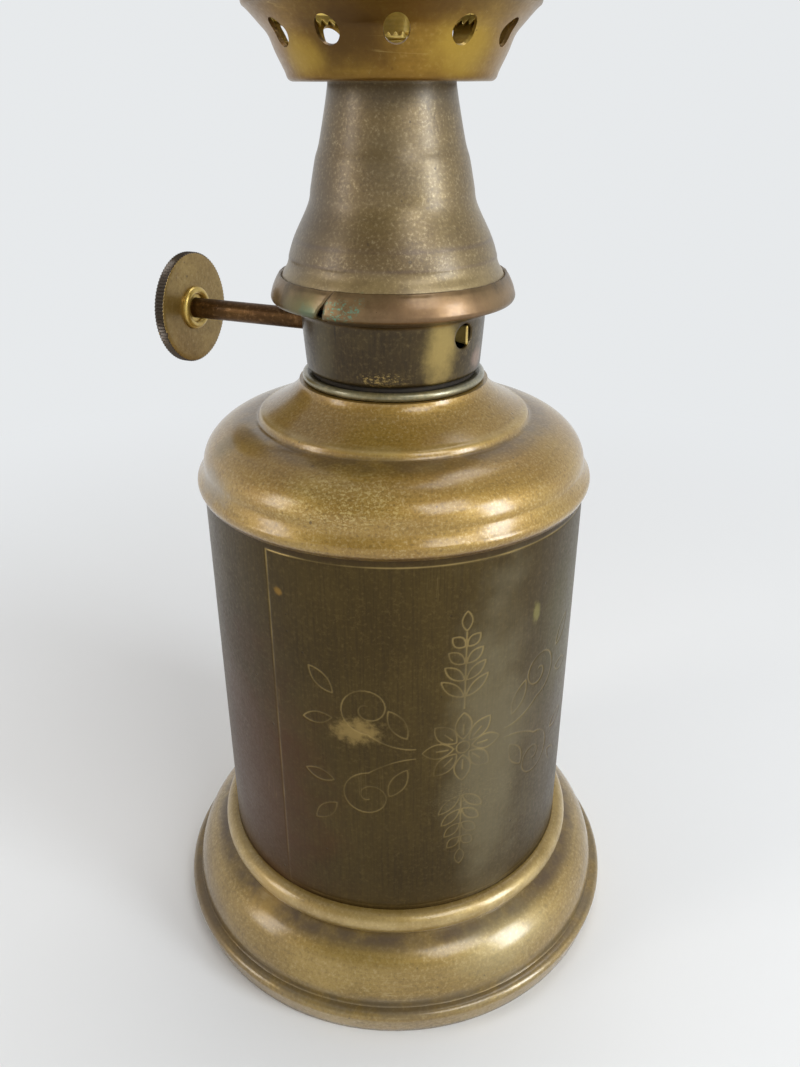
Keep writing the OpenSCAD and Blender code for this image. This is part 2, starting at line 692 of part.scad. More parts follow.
module gallery_cup() {
    color([0.72, 0.56, 0.20]) difference() {
        turned(sheet(gallery_path, gallery_wall));
        translate([0, 0, gallery_z + air_hole_h]) ring_of(air_holes, cone_neck_r, air_hole_bearing - 90)
            rotate([0, 90, 0]) cylinder(d = air_hole_d, h = gallery_rim_r);
    }
}

sleeve_in_r = cone_neck_r + sleeve_play;
sleeve_r = sleeve_in_r + sleeve_wall;

module gallery_floor() {
    floor_z = gallery_z + gallery_wall;
    inner_ring_r = sleeve_r + inner_holes_out;
    outer_ring_r = gallery_bottom_r - gallery_bottom_round - floor_seat_w - floor_hole_d / 6;
    color([0.66, 0.52, 0.22]) difference() {
        ring(gallery_bottom_r - 1, sleeve_r, floor_z, floor_z + gallery_wall);
        translate([0, 0, floor_z - cut]) {
            ring_of(floor_holes, outer_ring_r) cylinder(d = floor_hole_d, h = 3 * cut);
            ring_of(floor_holes, inner_ring_r, 180 / floor_holes) cylinder(d = floor_hole_d, h = 3 * cut);
        }
    }
}

module gallery_sleeve() {
    color([0.70, 0.56, 0.24]) ring(sleeve_r, sleeve_in_r, gallery_z, gallery_z + sleeve_h);
}

ledge_in_r = chimney_base_r - glass_t - ledge_grip;

module chimney_holder() {
    color([0.80, 0.64, 0.24]) difference() {
        union() {
            ring(band_in_r, ledge_in_r, ledge_z, chimney_z);
            ring(band_in_r, band_in_r - gallery_wall, ledge_z, chimney_z + finger_h);
        }
        translate([0, 0, chimney_z + gap]) ring_of(fingers, band_in_r - finger_root, 180 / fingers)
            translate([0, -finger_slot_w / 2, 0]) cube([2 * finger_root, finger_slot_w, finger_h]);
    }
}

chimney_top_z = chimney_z + chimney_h;
chimney_mouth_r = chimney_mouth_d / 2;
chimney_belly_r = chimney_base_r + chimney_belly_out;
belly_z = chimney_z + chimney_belly_h;
above_belly = chimney_top_z - belly_z;
chimney_path = concat([[chimney_base_r, chimney_z]], smooth_path([
    [chimney_base_r, chimney_z + chimney_base_h], [chimney_belly_r, belly_z],
    [(chimney_belly_r * 0.62 + chimney_mouth_r * 0.38), belly_z + above_belly * 0.34],
    [(chimney_belly_r * 0.14 + chimney_mouth_r * 0.86), belly_z + above_belly * 0.68],
    [chimney_mouth_r, chimney_top_z]], 6));

module glass_chimney() {
    color([0.85, 0.90, 0.88, 0.4]) turned(sheet(chimney_path, glass_t));
}

base_shell();
foot_plate();
tank_body();
tank_floor();
shoulder_cap();
neck_socket();
felt_filling();
well_tube();
neck_gasket();
burner_plug();
burner_collar();
cone_shroud();
wick_tube();
tube_bracket();
centring_plate();
thumb_wheel();
wheel_ferrule();
knob_shaft();
spur_wheel();
shaft_ring();
wick();
gallery_cup();
gallery_floor();
gallery_sleeve();
chimney_holder();
glass_chimney();
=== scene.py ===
import math

import bmesh
import bpy
from mathutils import Matrix, Vector, noise
from mathutils.kdtree import KDTree


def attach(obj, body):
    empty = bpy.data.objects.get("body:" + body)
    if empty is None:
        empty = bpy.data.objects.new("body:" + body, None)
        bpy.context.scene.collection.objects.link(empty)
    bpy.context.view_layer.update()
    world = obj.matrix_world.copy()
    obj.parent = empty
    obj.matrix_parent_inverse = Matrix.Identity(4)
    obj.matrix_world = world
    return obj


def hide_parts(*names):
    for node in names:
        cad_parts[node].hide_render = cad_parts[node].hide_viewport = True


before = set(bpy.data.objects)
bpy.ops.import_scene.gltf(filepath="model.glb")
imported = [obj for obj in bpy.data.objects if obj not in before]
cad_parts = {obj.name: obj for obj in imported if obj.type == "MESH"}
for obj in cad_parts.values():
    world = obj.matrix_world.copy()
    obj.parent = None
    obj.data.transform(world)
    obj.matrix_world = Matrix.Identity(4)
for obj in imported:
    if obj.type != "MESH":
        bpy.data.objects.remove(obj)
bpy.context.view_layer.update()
mm = 0.001
print("frame loaded:", len(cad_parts), "nodes")


# Outlines: lists of (radius, height) in mm

def arcPath(centre, halfR, halfZ, start, end, steps):  # part of an oval, angles in degrees
    turns = [math.radians(start + (end - start) * i / steps) for i in range(steps + 1)]
    return [(centre[0] + halfR * math.cos(a), centre[1] + halfZ * math.sin(a)) for a in turns]


def smoothPath(points, steps):  # a soft curve through all points
    knots = [Vector(p) for p in points]
    path = []
    for i in range(len(knots) - 1):
        a, b, c, d = knots[max(i - 1, 0)], knots[i], knots[i + 1], knots[min(i + 2, len(knots) - 1)]
        for k in range(steps):
            t = k / steps
            path.append(tuple(0.5 * (2 * b + (c - a) * t + (2 * a - 5 * b + 4 * c - d) * t * t
                                     + (3 * b - a - 3 * c + d) * t ** 3)))
    return path + [tuple(knots[-1])]


def densePath(path, step):  # adds points so that no stretch is longer than step
    dense = [path[0]]
    for a, b in zip(path, path[1:]):
        parts = max(1, math.ceil(math.dist(a, b) / step))
        dense += [(a[0] + (b[0] - a[0]) * k / parts, a[1] + (b[1] - a[1]) * k / parts)
                  for k in range(1, parts + 1)]
    return dense


def radiusOn(path):  # gives a turned surface's radius at a height, both in metres
    def radiusAt(z):
        z = z / mm
        for a, b in zip(path, path[1:]):
            if min(a[1], b[1]) <= z <= max(a[1], b[1]) and a[1] != b[1]:
                return (a[0] + (b[0] - a[0]) * (z - a[1]) / (b[1] - a[1])) * mm
        return (path[0][0] if abs(z - path[0][1]) < abs(z - path[-1][1]) else path[-1][0]) * mm
    return radiusAt


# Meshes

weldReach = 1e-6  # points closer than this are one
holeRounds = 3  # how often the mesh round a hole is evened
holeReach = 1.6  # and how far out, in hole radii


def lathe(path, steps, closed=False):  # turns an outline round the lamp's axis, its right side out
    mesh = bmesh.new()
    ring = [mesh.verts.new((r * mm, 0, z * mm)) for r, z in path]
    edges = [mesh.edges.new(pair) for pair in zip(ring, ring[1:])]
    if closed:
        edges.append(mesh.edges.new((ring[-1], ring[0])))
    bmesh.ops.spin(mesh, geom=ring + edges, cent=(0, 0, 0), axis=(0, 0, 1), dvec=(0, 0, 0),
                   angle=math.tau, steps=steps, use_merge=True, use_normal_flip=False,
                   use_duplicate=False)
    bmesh.ops.remove_doubles(mesh, verts=mesh.verts, dist=weldReach)
    bmesh.ops.recalc_face_normals(mesh, faces=mesh.faces)
    if not closed:
        a, b = max(zip(path, path[1:]), key=lambda pair: math.dist(*pair))
        spot = Vector(((a[0] + b[0]) / 2 * mm, 0, (a[1] + b[1]) / 2 * mm))
        face = min(mesh.faces, key=lambda f: (f.calc_center_median() - spot).length)
        if face.normal.dot(Vector((b[1] - a[1], 0, a[0] - b[0]))) < 0:
            bmesh.ops.reverse_faces(mesh, faces=mesh.faces)
    return mesh


def pierce(mesh, start, along, radius, putBack):  # a round hole whose rim stays on the surface
    along = along.normalized()

    def offLine(point):
        away = point - start
        return away - along * away.dot(along)

    def ahead(point):
        return (point - start).dot(along) > 0

    gone = [f for f in mesh.faces
            if ahead(f.calc_center_median()) and offLine(f.calc_center_median()).length < radius]
    bmesh.ops.delete(mesh, geom=gone, context="FACES")
    reach = radius * holeReach
    rim = {v for e in mesh.edges if e.is_boundary for v in e.verts
           if ahead(v.co) and offLine(v.co).length < reach}
    around = {v for v in mesh.verts if v not in rim and not v.is_boundary
              and ahead(v.co) and offLine(v.co).length < reach}

    def roundRim():
        for v in rim:
            off = offLine(v.co)
            v.co += off.normalized() * (radius - off.length)
            putBack(v)

    for evening in range(holeRounds):
        roundRim()
        bmesh.ops.smooth_vert(mesh, verts=list(around), factor=0.5,
                              use_axis_x=True, use_axis_y=True, use_axis_z=True)
        for v in around:
            putBack(v)
    roundRim()


def sheetRing(outer, inner, height, grid, steps, holes, radius, wall):
    # a flat ring of sheet with round holes, its upper side at the height
    mesh = lathe(densePath([(outer, height), (inner, height)], grid), steps)
    for hole in holes:
        pierce(mesh, hole, Vector((0, 0, 1)), radius * mm, lambda vert: None)
    bmesh.ops.solidify(mesh, geom=mesh.faces, thickness=wall * mm)
    bmesh.ops.recalc_face_normals(mesh, faces=mesh.faces)
    return mesh


def makePiece(name, mesh, body, material, nodes=(), wall=0, edge=0, sharp=35, even=True):
    # puts a finished mesh on its body, with its wall in mm, rounded edges and finish
    data = bpy.data.meshes.new(name)
    mesh.to_mesh(data)
    mesh.free()
    data.materials.append(material)
    data.shade_smooth()
    data.set_sharp_from_angle(angle=math.radians(sharp))
    piece = bpy.data.objects.new(name, data)
    bpy.context.scene.collection.objects.link(piece)
    if wall:
        solidify = piece.modifiers.new("wall", "SOLIDIFY")
        solidify.thickness = wall * mm
        solidify.offset = -1
        solidify.use_even_offset = even
    if edge:
        bevel = piece.modifiers.new("edge", "BEVEL")
        bevel.width = edge * mm
        bevel.segments = 2
        bevel.limit_method = "ANGLE"
        bevel.angle_limit = math.radians(sharp)
        bevel.harden_normals = True
    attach(piece, body)
    if nodes:
        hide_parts(*nodes)
    return piece


def bearing(angle, radius=1.0):  # a way out from the axis, in degrees to the right of the viewer
    turn = math.radians(angle)
    return Vector((math.sin(turn), -math.cos(turn), 0)) * radius


# Shader groups

def addNode(tree, kind, **settings):
    node = tree.nodes.new(kind)
    for key, value in settings.items():
        setattr(node, key, value)
    return node


def feed(tree, socket, value):  # a number or a colour is set, another node's output is linked
    if isinstance(value, bpy.types.NodeSocket):
        tree.links.new(value, socket)
    elif socket.type == "RGBA":
        socket.default_value = (*value, 1)
    else:
        socket.default_value = value


def mathNode(tree, operation, a, b=None):
    node = addNode(tree, "ShaderNodeMath", operation=operation)
    feed(tree, node.inputs[0], a)
    if b is not None:
        feed(tree, node.inputs[1], b)
    return node.outputs[0]


def vectorNode(tree, operation, a, b=None):
    node = addNode(tree, "ShaderNodeVectorMath", operation=operation)
    feed(tree, node.inputs[0], a)
    if b is not None:
        feed(tree, node.inputs[1], b)
    return node.outputs["Value" if operation == "LENGTH" else "Vector"]


def times(tree, a, b):
    return mathNode(tree, "MULTIPLY", a, b)


def rampNode(tree, value, low, high, top=1.0, base=0.0):  # soft step between low and high
    node = addNode(tree, "ShaderNodeMapRange", interpolation_type="SMOOTHSTEP")
    for label, amount in (("Value", value), ("From Min", low), ("From Max", high),
                          ("To Min", base), ("To Max", top)):
        feed(tree, node.inputs[label], amount)
    return node.outputs[0]


def mixColour(tree, share, a, b):
    node = addNode(tree, "ShaderNodeMix", data_type="RGBA", clamp_factor=True)
    for index, value in ((0, share), (6, a), (7, b)):  # the factor and the two colours
        feed(tree, node.inputs[index], value)
    return node.outputs[2]


def noiseNode(tree, vector, scale, detail=3.0, rough=0.55):
    node = addNode(tree, "ShaderNodeTexNoise")
    for label, amount in (("Vector", vector), ("Scale", scale), ("Detail", detail), ("Roughness", rough)):
        feed(tree, node.inputs[label], amount)
    return node.outputs["Fac"]


def startGroup(name, result, **inputs):  # a group that reads Vector and the named inputs
    group = bpy.data.node_groups.new(name, "ShaderNodeTree")
    group.interface.new_socket("Vector", in_out="INPUT", socket_type="NodeSocketVector")
    for label, value in inputs.items():
        kind = "NodeSocketFloat" if isinstance(value, float) else "NodeSocketVector"
        group.interface.new_socket(label, in_out="INPUT", socket_type=kind).default_value = value
    group.interface.new_socket(result, in_out="OUTPUT", socket_type="NodeSocketFloat")
    return group, group.nodes.new("NodeGroupInput").outputs, group.nodes.new("NodeGroupOutput").inputs[0]


def makeBlotchGroup():  # cloudy patina, with a soft threshold
    tree, start, end = startGroup("blotches", "Mask", Scale=60.0, Cover=0.5, Softness=0.15)
    cloud = noiseNode(tree, start["Vector"], start["Scale"], 6.0, 0.62)
    middle = mathNode(tree, "SUBTRACT", 1.0, start["Cover"])
    low = mathNode(tree, "SUBTRACT", middle, start["Softness"])
    high = mathNode(tree, "ADD", middle, start["Softness"])
    feed(tree, end, rampNode(tree, cloud, low, high))
    return tree


def makeStreakGroup():  # fine parallel marks; Stretch squeezes the noise along the marks
    tree, start, end = startGroup("streaks", "Value", Stretch=(1.0, 1.0, 0.03), Scale=1500.0)
    laid = vectorNode(tree, "MULTIPLY", start["Vector"], start["Stretch"])
    feed(tree, end, noiseNode(tree, laid, start["Scale"], 4.0, 0.6))
    return tree


def makeSpeckGroup():  # small round dots, a share of the cells of a cell pattern
    tree, start, end = startGroup("specks", "Mask", Scale=500.0, Size=0.25, Share=0.3)
    cells = addNode(tree, "ShaderNodeTexVoronoi", feature="F1")
    for label, value in (("Vector", start["Vector"]), ("Scale", start["Scale"]), ("Randomness", 1.0)):
        feed(tree, cells.inputs[label], value)
    chance = addNode(tree, "ShaderNodeSeparateColor")
    feed(tree, chance.inputs[0], cells.outputs["Color"])
    kept = mathNode(tree, "LESS_THAN", chance.outputs[0], start["Share"])
    ownSize = times(tree, start["Size"], mathNode(tree, "ADD", chance.outputs[1], 0.25))
    dot = rampNode(tree, cells.outputs["Distance"], times(tree, ownSize, 0.5), ownSize, 0.0, 1.0)
    feed(tree, end, times(tree, dot, kept))
    return tree


def makeScratchGroup():  # long thin lines: the level lines of a stretched noise
    tree, start, end = startGroup("scratches", "Mask", Stretch=(1.0, 1.0, 0.12), Scale=220.0,
                                  Width=0.006, Cover=0.4)
    laid = vectorNode(tree, "MULTIPLY", start["Vector"], start["Stretch"])
    field = noiseNode(tree, laid, start["Scale"], 2.0, 0.5)
    off = mathNode(tree, "ABSOLUTE", mathNode(tree, "SUBTRACT", field, 0.5))
    line = rampNode(tree, off, 0.0, start["Width"], 0.0, 1.0)
    where = noiseNode(tree, start["Vector"], 90.0, 3.0)
    limit = mathNode(tree, "SUBTRACT", 1.0, start["Cover"])
    here = rampNode(tree, where, limit, mathNode(tree, "ADD", limit, 0.12))
    feed(tree, end, times(tree, line, here))
    return tree


def makePatchGroup():  # one ragged patch round a centre, sizes in metres; Flecks breaks it up
    tree, start, end = startGroup("patch", "Mask", Centre=(0.0, 0.0, 0.0), Size=(0.01, 0.01, 0.01),
                                  Ragged=0.5, Grain=400.0, Flecks=0.0)
    away = vectorNode(tree, "SUBTRACT", start["Vector"], start["Centre"])
    reach = vectorNode(tree, "LENGTH", vectorNode(tree, "DIVIDE", away, start["Size"]))
    cloud = noiseNode(tree, start["Vector"], start["Grain"], 5.0, 0.65)
    ragged = times(tree, mathNode(tree, "SUBTRACT", cloud, 0.5), start["Ragged"])
    edge = mathNode(tree, "ADD", reach, times(tree, ragged, 4.0))
    inside = rampNode(tree, edge, 0.25, 1.15, 0.0, 1.0)
    slanted = vectorNode(tree, "MULTIPLY", start["Vector"], (1.0, 1.0, 1.7))
    dots = rampNode(tree, noiseNode(tree, slanted, 1900.0, 6.0, 0.72), 0.5, 0.6)
    broken = mathNode(tree, "MAXIMUM", dots, mathNode(tree, "SUBTRACT", 1.0, start["Flecks"]))
    feed(tree, end, times(tree, inside, broken))
    return tree


effects = {"blotches": makeBlotchGroup(), "streaks": makeStreakGroup(), "specks": makeSpeckGroup(),
           "scratches": makeScratchGroup(), "patch": makePatchGroup()}


def effect(tree, name, vector, **values):  # places a shader group and gives its output
    node = addNode(tree, "ShaderNodeGroup", node_tree=effects[name])
    feed(tree, node.inputs["Vector"], vector)
    for label, value in values.items():
        feed(tree, node.inputs[label], value)
    return node.outputs[0]


# Materials

def startMaterial(name):
    material = bpy.data.materials.new(name)
    material.use_nodes = True
    tree = material.node_tree
    tree.nodes.clear()
    shader = tree.nodes.new("ShaderNodeBsdfPrincipled")
    output = tree.nodes.new("ShaderNodeOutputMaterial")
    tree.links.new(shader.outputs[0], output.inputs["Surface"])
    place = tree.nodes.new("ShaderNodeTexCoord").outputs["Object"]
    return material, tree, shader, place


def addBump(tree, shader, heights):  # heights: (value, distance in metres, strength)
    normal = None
    for value, distance, strength in heights:
        bump = tree.nodes.new("ShaderNodeBump")
        bump.inputs["Distance"].default_value = distance
        bump.inputs["Strength"].default_value = strength
        tree.links.new(value, bump.inputs["Height"])
        if normal:
            tree.links.new(normal, bump.inputs["Normal"])
        normal = bump.outputs[0]
    tree.links.new(normal, shader.inputs["Normal"])


def seen(red, green, blue):  # a screen colour, 0-255, as the linear one that a socket takes
    return tuple(((c / 255 + 0.055) / 1.055) ** 2.4 for c in (red, green, blue))


def spot(angle, radius, height):  # a place on the lamp, in mm
    return (*bearing(angle, radius).xy, height)


turned = (0.04, 0.04, 1.0)  # marks run round the axis
drawn = (1.0, 1.0, 0.03)  # marks run up the wall
plain = (1.0, 1.0, 1.0)  # marks have no direction
# shares are 0-1, scales are per metre, depths in metres
brassLooks = {
    "metal": seen(166, 140, 88), "patina": seen(134, 111, 64), "tint": seen(142, 108, 62),
    "dark": seen(62, 46, 22), "bright": seen(206, 184, 134), "blotchScale": 55.0, "cover": 0.55,
    "softness": 0.16, "tintScale": 45.0, "tintShare": 0.5, "marks": turned, "markScale": 3200.0,
    "markShare": 0.14, "markDepth": 0.00002, "grainScale": 1700.0, "grainShare": 0.3,
    "grainDepth": 0.00003, "speckScale": 900.0, "speckSize": 0.22, "speckCover": 0.04,
    "speckShare": 0.55, "speckDepth": 0.00006, "scratchScale": 500.0, "scratchWidth": 0.01,
    "scratchCover": 0.42, "scratchShare": 0.25, "waveScale": 70.0, "waveDepth": 0.0006,
    "rough": 0.4, "patinaRough": 0.1, "grainRough": 0.3, "metallic": 0.62, "film": 1.0,
    "filmRough": 0.2, "bands": (), "patches": ()}


def agedBrass(name, changes):
    # clean metal, a cloudy patina over it, dark specks, fine marks, height bands and local patches; some
    # bands and patches are painted shade and painted highlights
    look = {**brassLooks, **changes}
    material, tree, shader, place = startMaterial(name)
    patina = effect(tree, "blotches", place, Scale=look["blotchScale"], Cover=look["cover"],
                    Softness=look["softness"])
    tint = effect(tree, "blotches", place, Scale=look["tintScale"], Cover=0.5, Softness=0.25)
    marks = effect(tree, "streaks", place, Stretch=look["marks"], Scale=look["markScale"])
    specks = effect(tree, "specks", place, Scale=look["speckScale"], Size=look["speckSize"],
                    Share=look["speckCover"])
    scratches = effect(tree, "scratches", place, Stretch=look["marks"], Scale=look["scratchScale"],
                       Width=look["scratchWidth"], Cover=look["scratchCover"])
    grain = noiseNode(tree, place, look["grainScale"], 3.0, 0.7)
    colour = look["metal"]
    for share, shade in ((patina, "patina"), (times(tree, tint, look["tintShare"]), "tint"),
                         (rampNode(tree, marks, 0.38, 0.7, look["markShare"]), "dark"),
                         (rampNode(tree, grain, 0.5, 0.72, look["grainShare"]), "dark"),
                         (rampNode(tree, grain, 0.26, 0.5, 0.0, look["grainShare"]), "bright")):
        colour = mixColour(tree, share, colour, look[shade])
    height = addNode(tree, "ShaderNodeSeparateXYZ")
    feed(tree, height.inputs[0], place)
    for low, high, share, shade in look["bands"]:  # a tone between two heights, mm: grime, polish, painted shade and painted highlights
        soft = (high - low) * 0.5
        up = rampNode(tree, height.outputs[2], (low - soft) * mm, (low + soft) * mm)
        down = rampNode(tree, height.outputs[2], (high - soft) * mm, (high + soft) * mm, 0.0, 1.0)
        cloudy = rampNode(tree, noiseNode(tree, place, 260.0, 4.0), 0.3, 0.62, share, share * 0.35)
        colour = mixColour(tree, times(tree, times(tree, up, down), cloudy), colour, shade)
    # local patches: stains, wear, painted shade and painted highlights
    for centre, size, share, shade, ragged, fineness, *flecks in look["patches"]:
        mask = effect(tree, "patch", place, Centre=tuple(c * mm for c in centre),
                      Size=tuple(s * mm for s in size), Ragged=ragged, Grain=fineness,
                      Flecks=flecks[0] if flecks else 0.0)
        colour = mixColour(tree, times(tree, mask, share), colour, shade)
    colour = mixColour(tree, times(tree, specks, look["speckShare"]), colour, look["dark"])
    colour = mixColour(tree, times(tree, scratches, look["scratchShare"]), colour, look["bright"])
    if "marked" in look:  # another tone where the mesh is marked: engraved strokes, a milled rim
        mark = addNode(tree, "ShaderNodeAttribute", attribute_name="marked")
        shade, share = look["marked"]
        colour = mixColour(tree, rampNode(tree, mark.outputs["Fac"], 0.05, 0.9, share), colour, shade)
    feed(tree, shader.inputs["Base Color"], colour)
    feed(tree, shader.inputs["Metallic"], look["metallic"])
    dull = mathNode(tree, "ADD", look["rough"], times(tree, patina, look["patinaRough"]))
    uneven = times(tree, mathNode(tree, "SUBTRACT", grain, 0.5), look["grainRough"])
    feed(tree, shader.inputs["Roughness"], mathNode(tree, "ADD", dull, uneven))
    feed(tree, shader.inputs["Coat Weight"], look["film"])
    feed(tree, shader.inputs["Coat Roughness"], look["filmRough"])
    waves = noiseNode(tree, place, look["waveScale"], 2.0)
    addBump(tree, shader, [(waves, look["waveDepth"], 0.35), (marks, look["markDepth"], 0.4),
                           (grain, look["grainDepth"], 0.4), (specks, -look["speckDepth"], 0.4)])
    return material


def clothMaterial(name, values):  # felt, wick and leather
    material, tree, shader, place = startMaterial(name)
    cloud = effect(tree, "blotches", place, Scale=values["scale"], Cover=0.5, Softness=0.2)
    fibres = effect(tree, "streaks", place, Stretch=values["fibres"], Scale=values["fibreScale"])
    colour = mixColour(tree, cloud, values["light"], values["dark"])
    colour = mixColour(tree, rampNode(tree, fibres, 0.4, 0.65, 0.5), colour, values["deep"])
    feed(tree, shader.inputs["Base Color"], colour)
    feed(tree, shader.inputs["Roughness"], values["rough"])
    addBump(tree, shader, [(fibres, values["depth"], 0.6), (cloud, values["depth"], 0.4)])
    return material


glassLooks = {"clear": (0.97, 0.985, 0.98), "dusty": (0.92, 0.95, 0.94), "smooth": 0.02, "dull": 0.07,
              "ior": 1.47, "shadow": 0.12}


def glassMaterial(name):  # clear glass with a little dust, which throws a light shadow
    look = glassLooks
    material, tree, shader, place = startMaterial(name)
    dust = effect(tree, "blotches", place, Scale=90.0, Cover=0.42, Softness=0.2)
    feed(tree, shader.inputs["Base Color"], mixColour(tree, dust, look["clear"], look["dusty"]))
    feed(tree, shader.inputs["Roughness"], rampNode(tree, dust, 0.0, 1.0, look["dull"], look["smooth"]))
    feed(tree, shader.inputs["Transmission Weight"], 1.0)
    feed(tree, shader.inputs["IOR"], look["ior"])
    shadowRay = addNode(tree, "ShaderNodeLightPath").outputs["Is Shadow Ray"]
    feed(tree, shader.inputs["Alpha"], rampNode(tree, shadowRay, 0.0, 1.0, look["shadow"], 1.0))
    waves = noiseNode(tree, vectorNode(tree, "MULTIPLY", place, (1.0, 1.0, 0.25)), 60.0, 1.0)
    addBump(tree, shader, [(waves, 0.0008, 0.2)])
    return material


tankBrass = agedBrass("tank brass", {
    "metallic": 0.75, "metal": seen(86, 69, 28), "patina": seen(60, 45, 10), "tint": seen(68, 52, 12),
    "dark": seen(36, 24, 5), "bright": seen(140, 116, 66), "marks": drawn, "rough": 0.34, "film": 0.1,
    "blotchScale": 30.0, "softness": 0.25, "marked": (seen(176, 150, 92), 0.6), "grainShare": 0.14,
    "markShare": 0.3,
    # the band from 82.6 to 84.4 mm is painted shade under the shoulder's lip
    "bands": ((8.0, 19.5, 0.3, seen(104, 80, 40)), (82.6, 84.4, 0.8, seen(56, 38, 14))),
    "patches": ((spot(-11, 30.2, 54.5), (4.2, 4.2, 2.7), 0.65, seen(158, 132, 76), 0.5, 700.0),
                # a light flecked patch right of the middle: painted highlight
                (spot(24, 30.2, 40.0), (9.0, 9.0, 5.0), 0.22, seen(150, 130, 80), 0.4, 300.0, 1.0),
                (spot(44, 30.2, 70.0), (1.0, 1.0, 2.2), 0.5, seen(150, 140, 76), 0.4, 500.0),
                (spot(-33, 30.2, 76.0), (0.8, 0.8, 0.7), 0.7, seen(150, 112, 40), 0.3, 500.0),
                (spot(-19, 30.2, 84.0), (0.9, 0.9, 0.7), 0.7, seen(160, 122, 44), 0.3, 500.0),
                # darker and redder low on the left: painted shade and a painted dark reflection, over
                # reddish tarnish
                (spot(-50, 30.2, 34.0), (18.0, 18.0, 36.0), 0.75, seen(74, 40, 4), 0.3, 130.0),
                # a tall pale band right of the middle: painted highlight
                (spot(30, 30.2, 48.0), (9.0, 9.0, 36.0), 0.45, seen(134, 124, 96), 0.3, 110.0),
                (spot(62, 30.2, 66.0), (10.0, 10.0, 18.0), 0.5, seen(82, 74, 26), 0.3, 110.0))})
footBrass = agedBrass("foot brass", {
    "metal": seen(168, 139, 68), "patina": seen(138, 111, 44), "tint": seen(150, 120, 64),
    # the band from 13.2 to 14.8 mm is painted shade in the groove under the bead
    "bands": ((4.4, 6.4, 0.8, seen(104, 92, 74)), (13.2, 14.8, 0.85, seen(84, 66, 46)),
              # the band from 15.4 to 17.8 mm is a painted highlight on the bead
              (0.0, 0.7, 0.5, seen(92, 66, 34)), (15.4, 17.8, 0.4, seen(214, 188, 130))),
    # darker on the left: painted shade
    "patches": ((spot(-66, 38.0, 4.0), (20.0, 20.0, 9.0), 0.5, seen(92, 66, 26), 0.2, 120.0),
                (spot(-42, 33.0, 15.5), (6.0, 6.0, 4.0), 0.5, seen(184, 148, 70), 0.3, 260.0),
                # a pale patch on the moulding's right: painted highlight
                (spot(30, 36.0, 11.0), (12.0, 12.0, 5.0), 0.3, seen(164, 152, 112), 0.3, 140.0))})
shoulderBrass = agedBrass("shoulder brass", {
    "metal": seen(172, 140, 60), "patina": seen(148, 115, 40), "tint": seen(152, 112, 42),
    "rough": 0.42, "grainShare": 0.4, "grainScale": 2300.0,
    # the three bands are painted light: shade under the lip, shade in the groove under the ridge and a
    # highlight on the ridge
    "bands": ((83.4, 84.1, 0.7, seen(96, 64, 34)), (93.3, 94.3, 0.65, seen(96, 78, 54)),
              (94.7, 95.3, 0.4, seen(200, 174, 112))),
    "patches": ((spot(-16, 27.5, 90.6), (13.0, 9.0, 4.2), 0.7, seen(206, 182, 116), 0.4, 260.0, 1.0),
                (spot(-68, 27.0, 91.6), (3.4, 3.4, 2.4), 0.6, seen(120, 98, 30), 0.12, 200.0),
                (spot(-62, 29.5, 87.5), (7.0, 7.0, 3.0), 0.5, seen(140, 132, 118), 0.4, 300.0))})
neckMetal = agedBrass("neck metal", {
    "metal": seen(150, 146, 122), "patina": seen(104, 100, 76), "tint": seen(156, 136, 76),
    "dark": seen(48, 44, 30), "blotchScale": 130.0, "metallic": 0.75})
burnerBrass = agedBrass("burner brass", {
    "metal": seen(82, 67, 32), "patina": seen(54, 43, 16), "tint": seen(70, 50, 20),
    "dark": seen(30, 22, 8), "bright": seen(150, 128, 80), "marks": drawn, "markShare": 0.35,
    "rough": 0.34, "blotchScale": 90.0, "film": 0.3, "metallic": 0.72, "grainShare": 0.2,
    "bands": ((110.3, 111.4, 0.6, seen(56, 40, 22)), (111.4, 116.0, 0.8, seen(140, 112, 74))),
    # the pale gold patch first in this list is a painted highlight
    "patches": ((spot(30, 13.7, 106.6), (3.4, 3.4, 6.0), 0.5, seen(196, 168, 96), 0.3, 300.0),
                (spot(-36.5, 13.7, 106.0), (0.16, 0.16, 9.0), 0.8, seen(34, 24, 8), 0.1, 300.0),
                (spot(-48, 13.7, 106.0), (3.0, 3.0, 7.0), 0.4, seen(98, 88, 60), 0.2, 200.0),
                (spot(66, 13.7, 104.0), (2.2, 2.2, 2.4), 0.5, seen(176, 144, 124), 0.3, 420.0),
                (spot(-8, 13.4, 102.8), (4.6, 4.6, 1.2), 0.8, seen(176, 148, 84), 0.4, 600.0, 1.0),
                (spot(-45, 17.5, 112.6), (5.0, 5.0, 2.6), 0.8, seen(104, 98, 60), 0.3, 300.0),
                (spot(-24, 17.9, 112.9), (2.6, 2.6, 1.8), 0.95, seen(84, 142, 118), 0.7, 1100.0, 1.0),
                (spot(-15, 17.9, 114.4), (1.0, 1.0, 1.2), 0.9, seen(84, 142, 118), 0.6, 1100.0, 1.0),
                (spot(-40, 17.9, 112.4), (2.0, 2.0, 1.2), 0.5, seen(76, 104, 84), 0.5, 900.0),
                (spot(20, 17.6, 113.0), (14.0, 9.0, 3.0), 0.4, seen(140, 104, 72), 0.3, 180.0))})
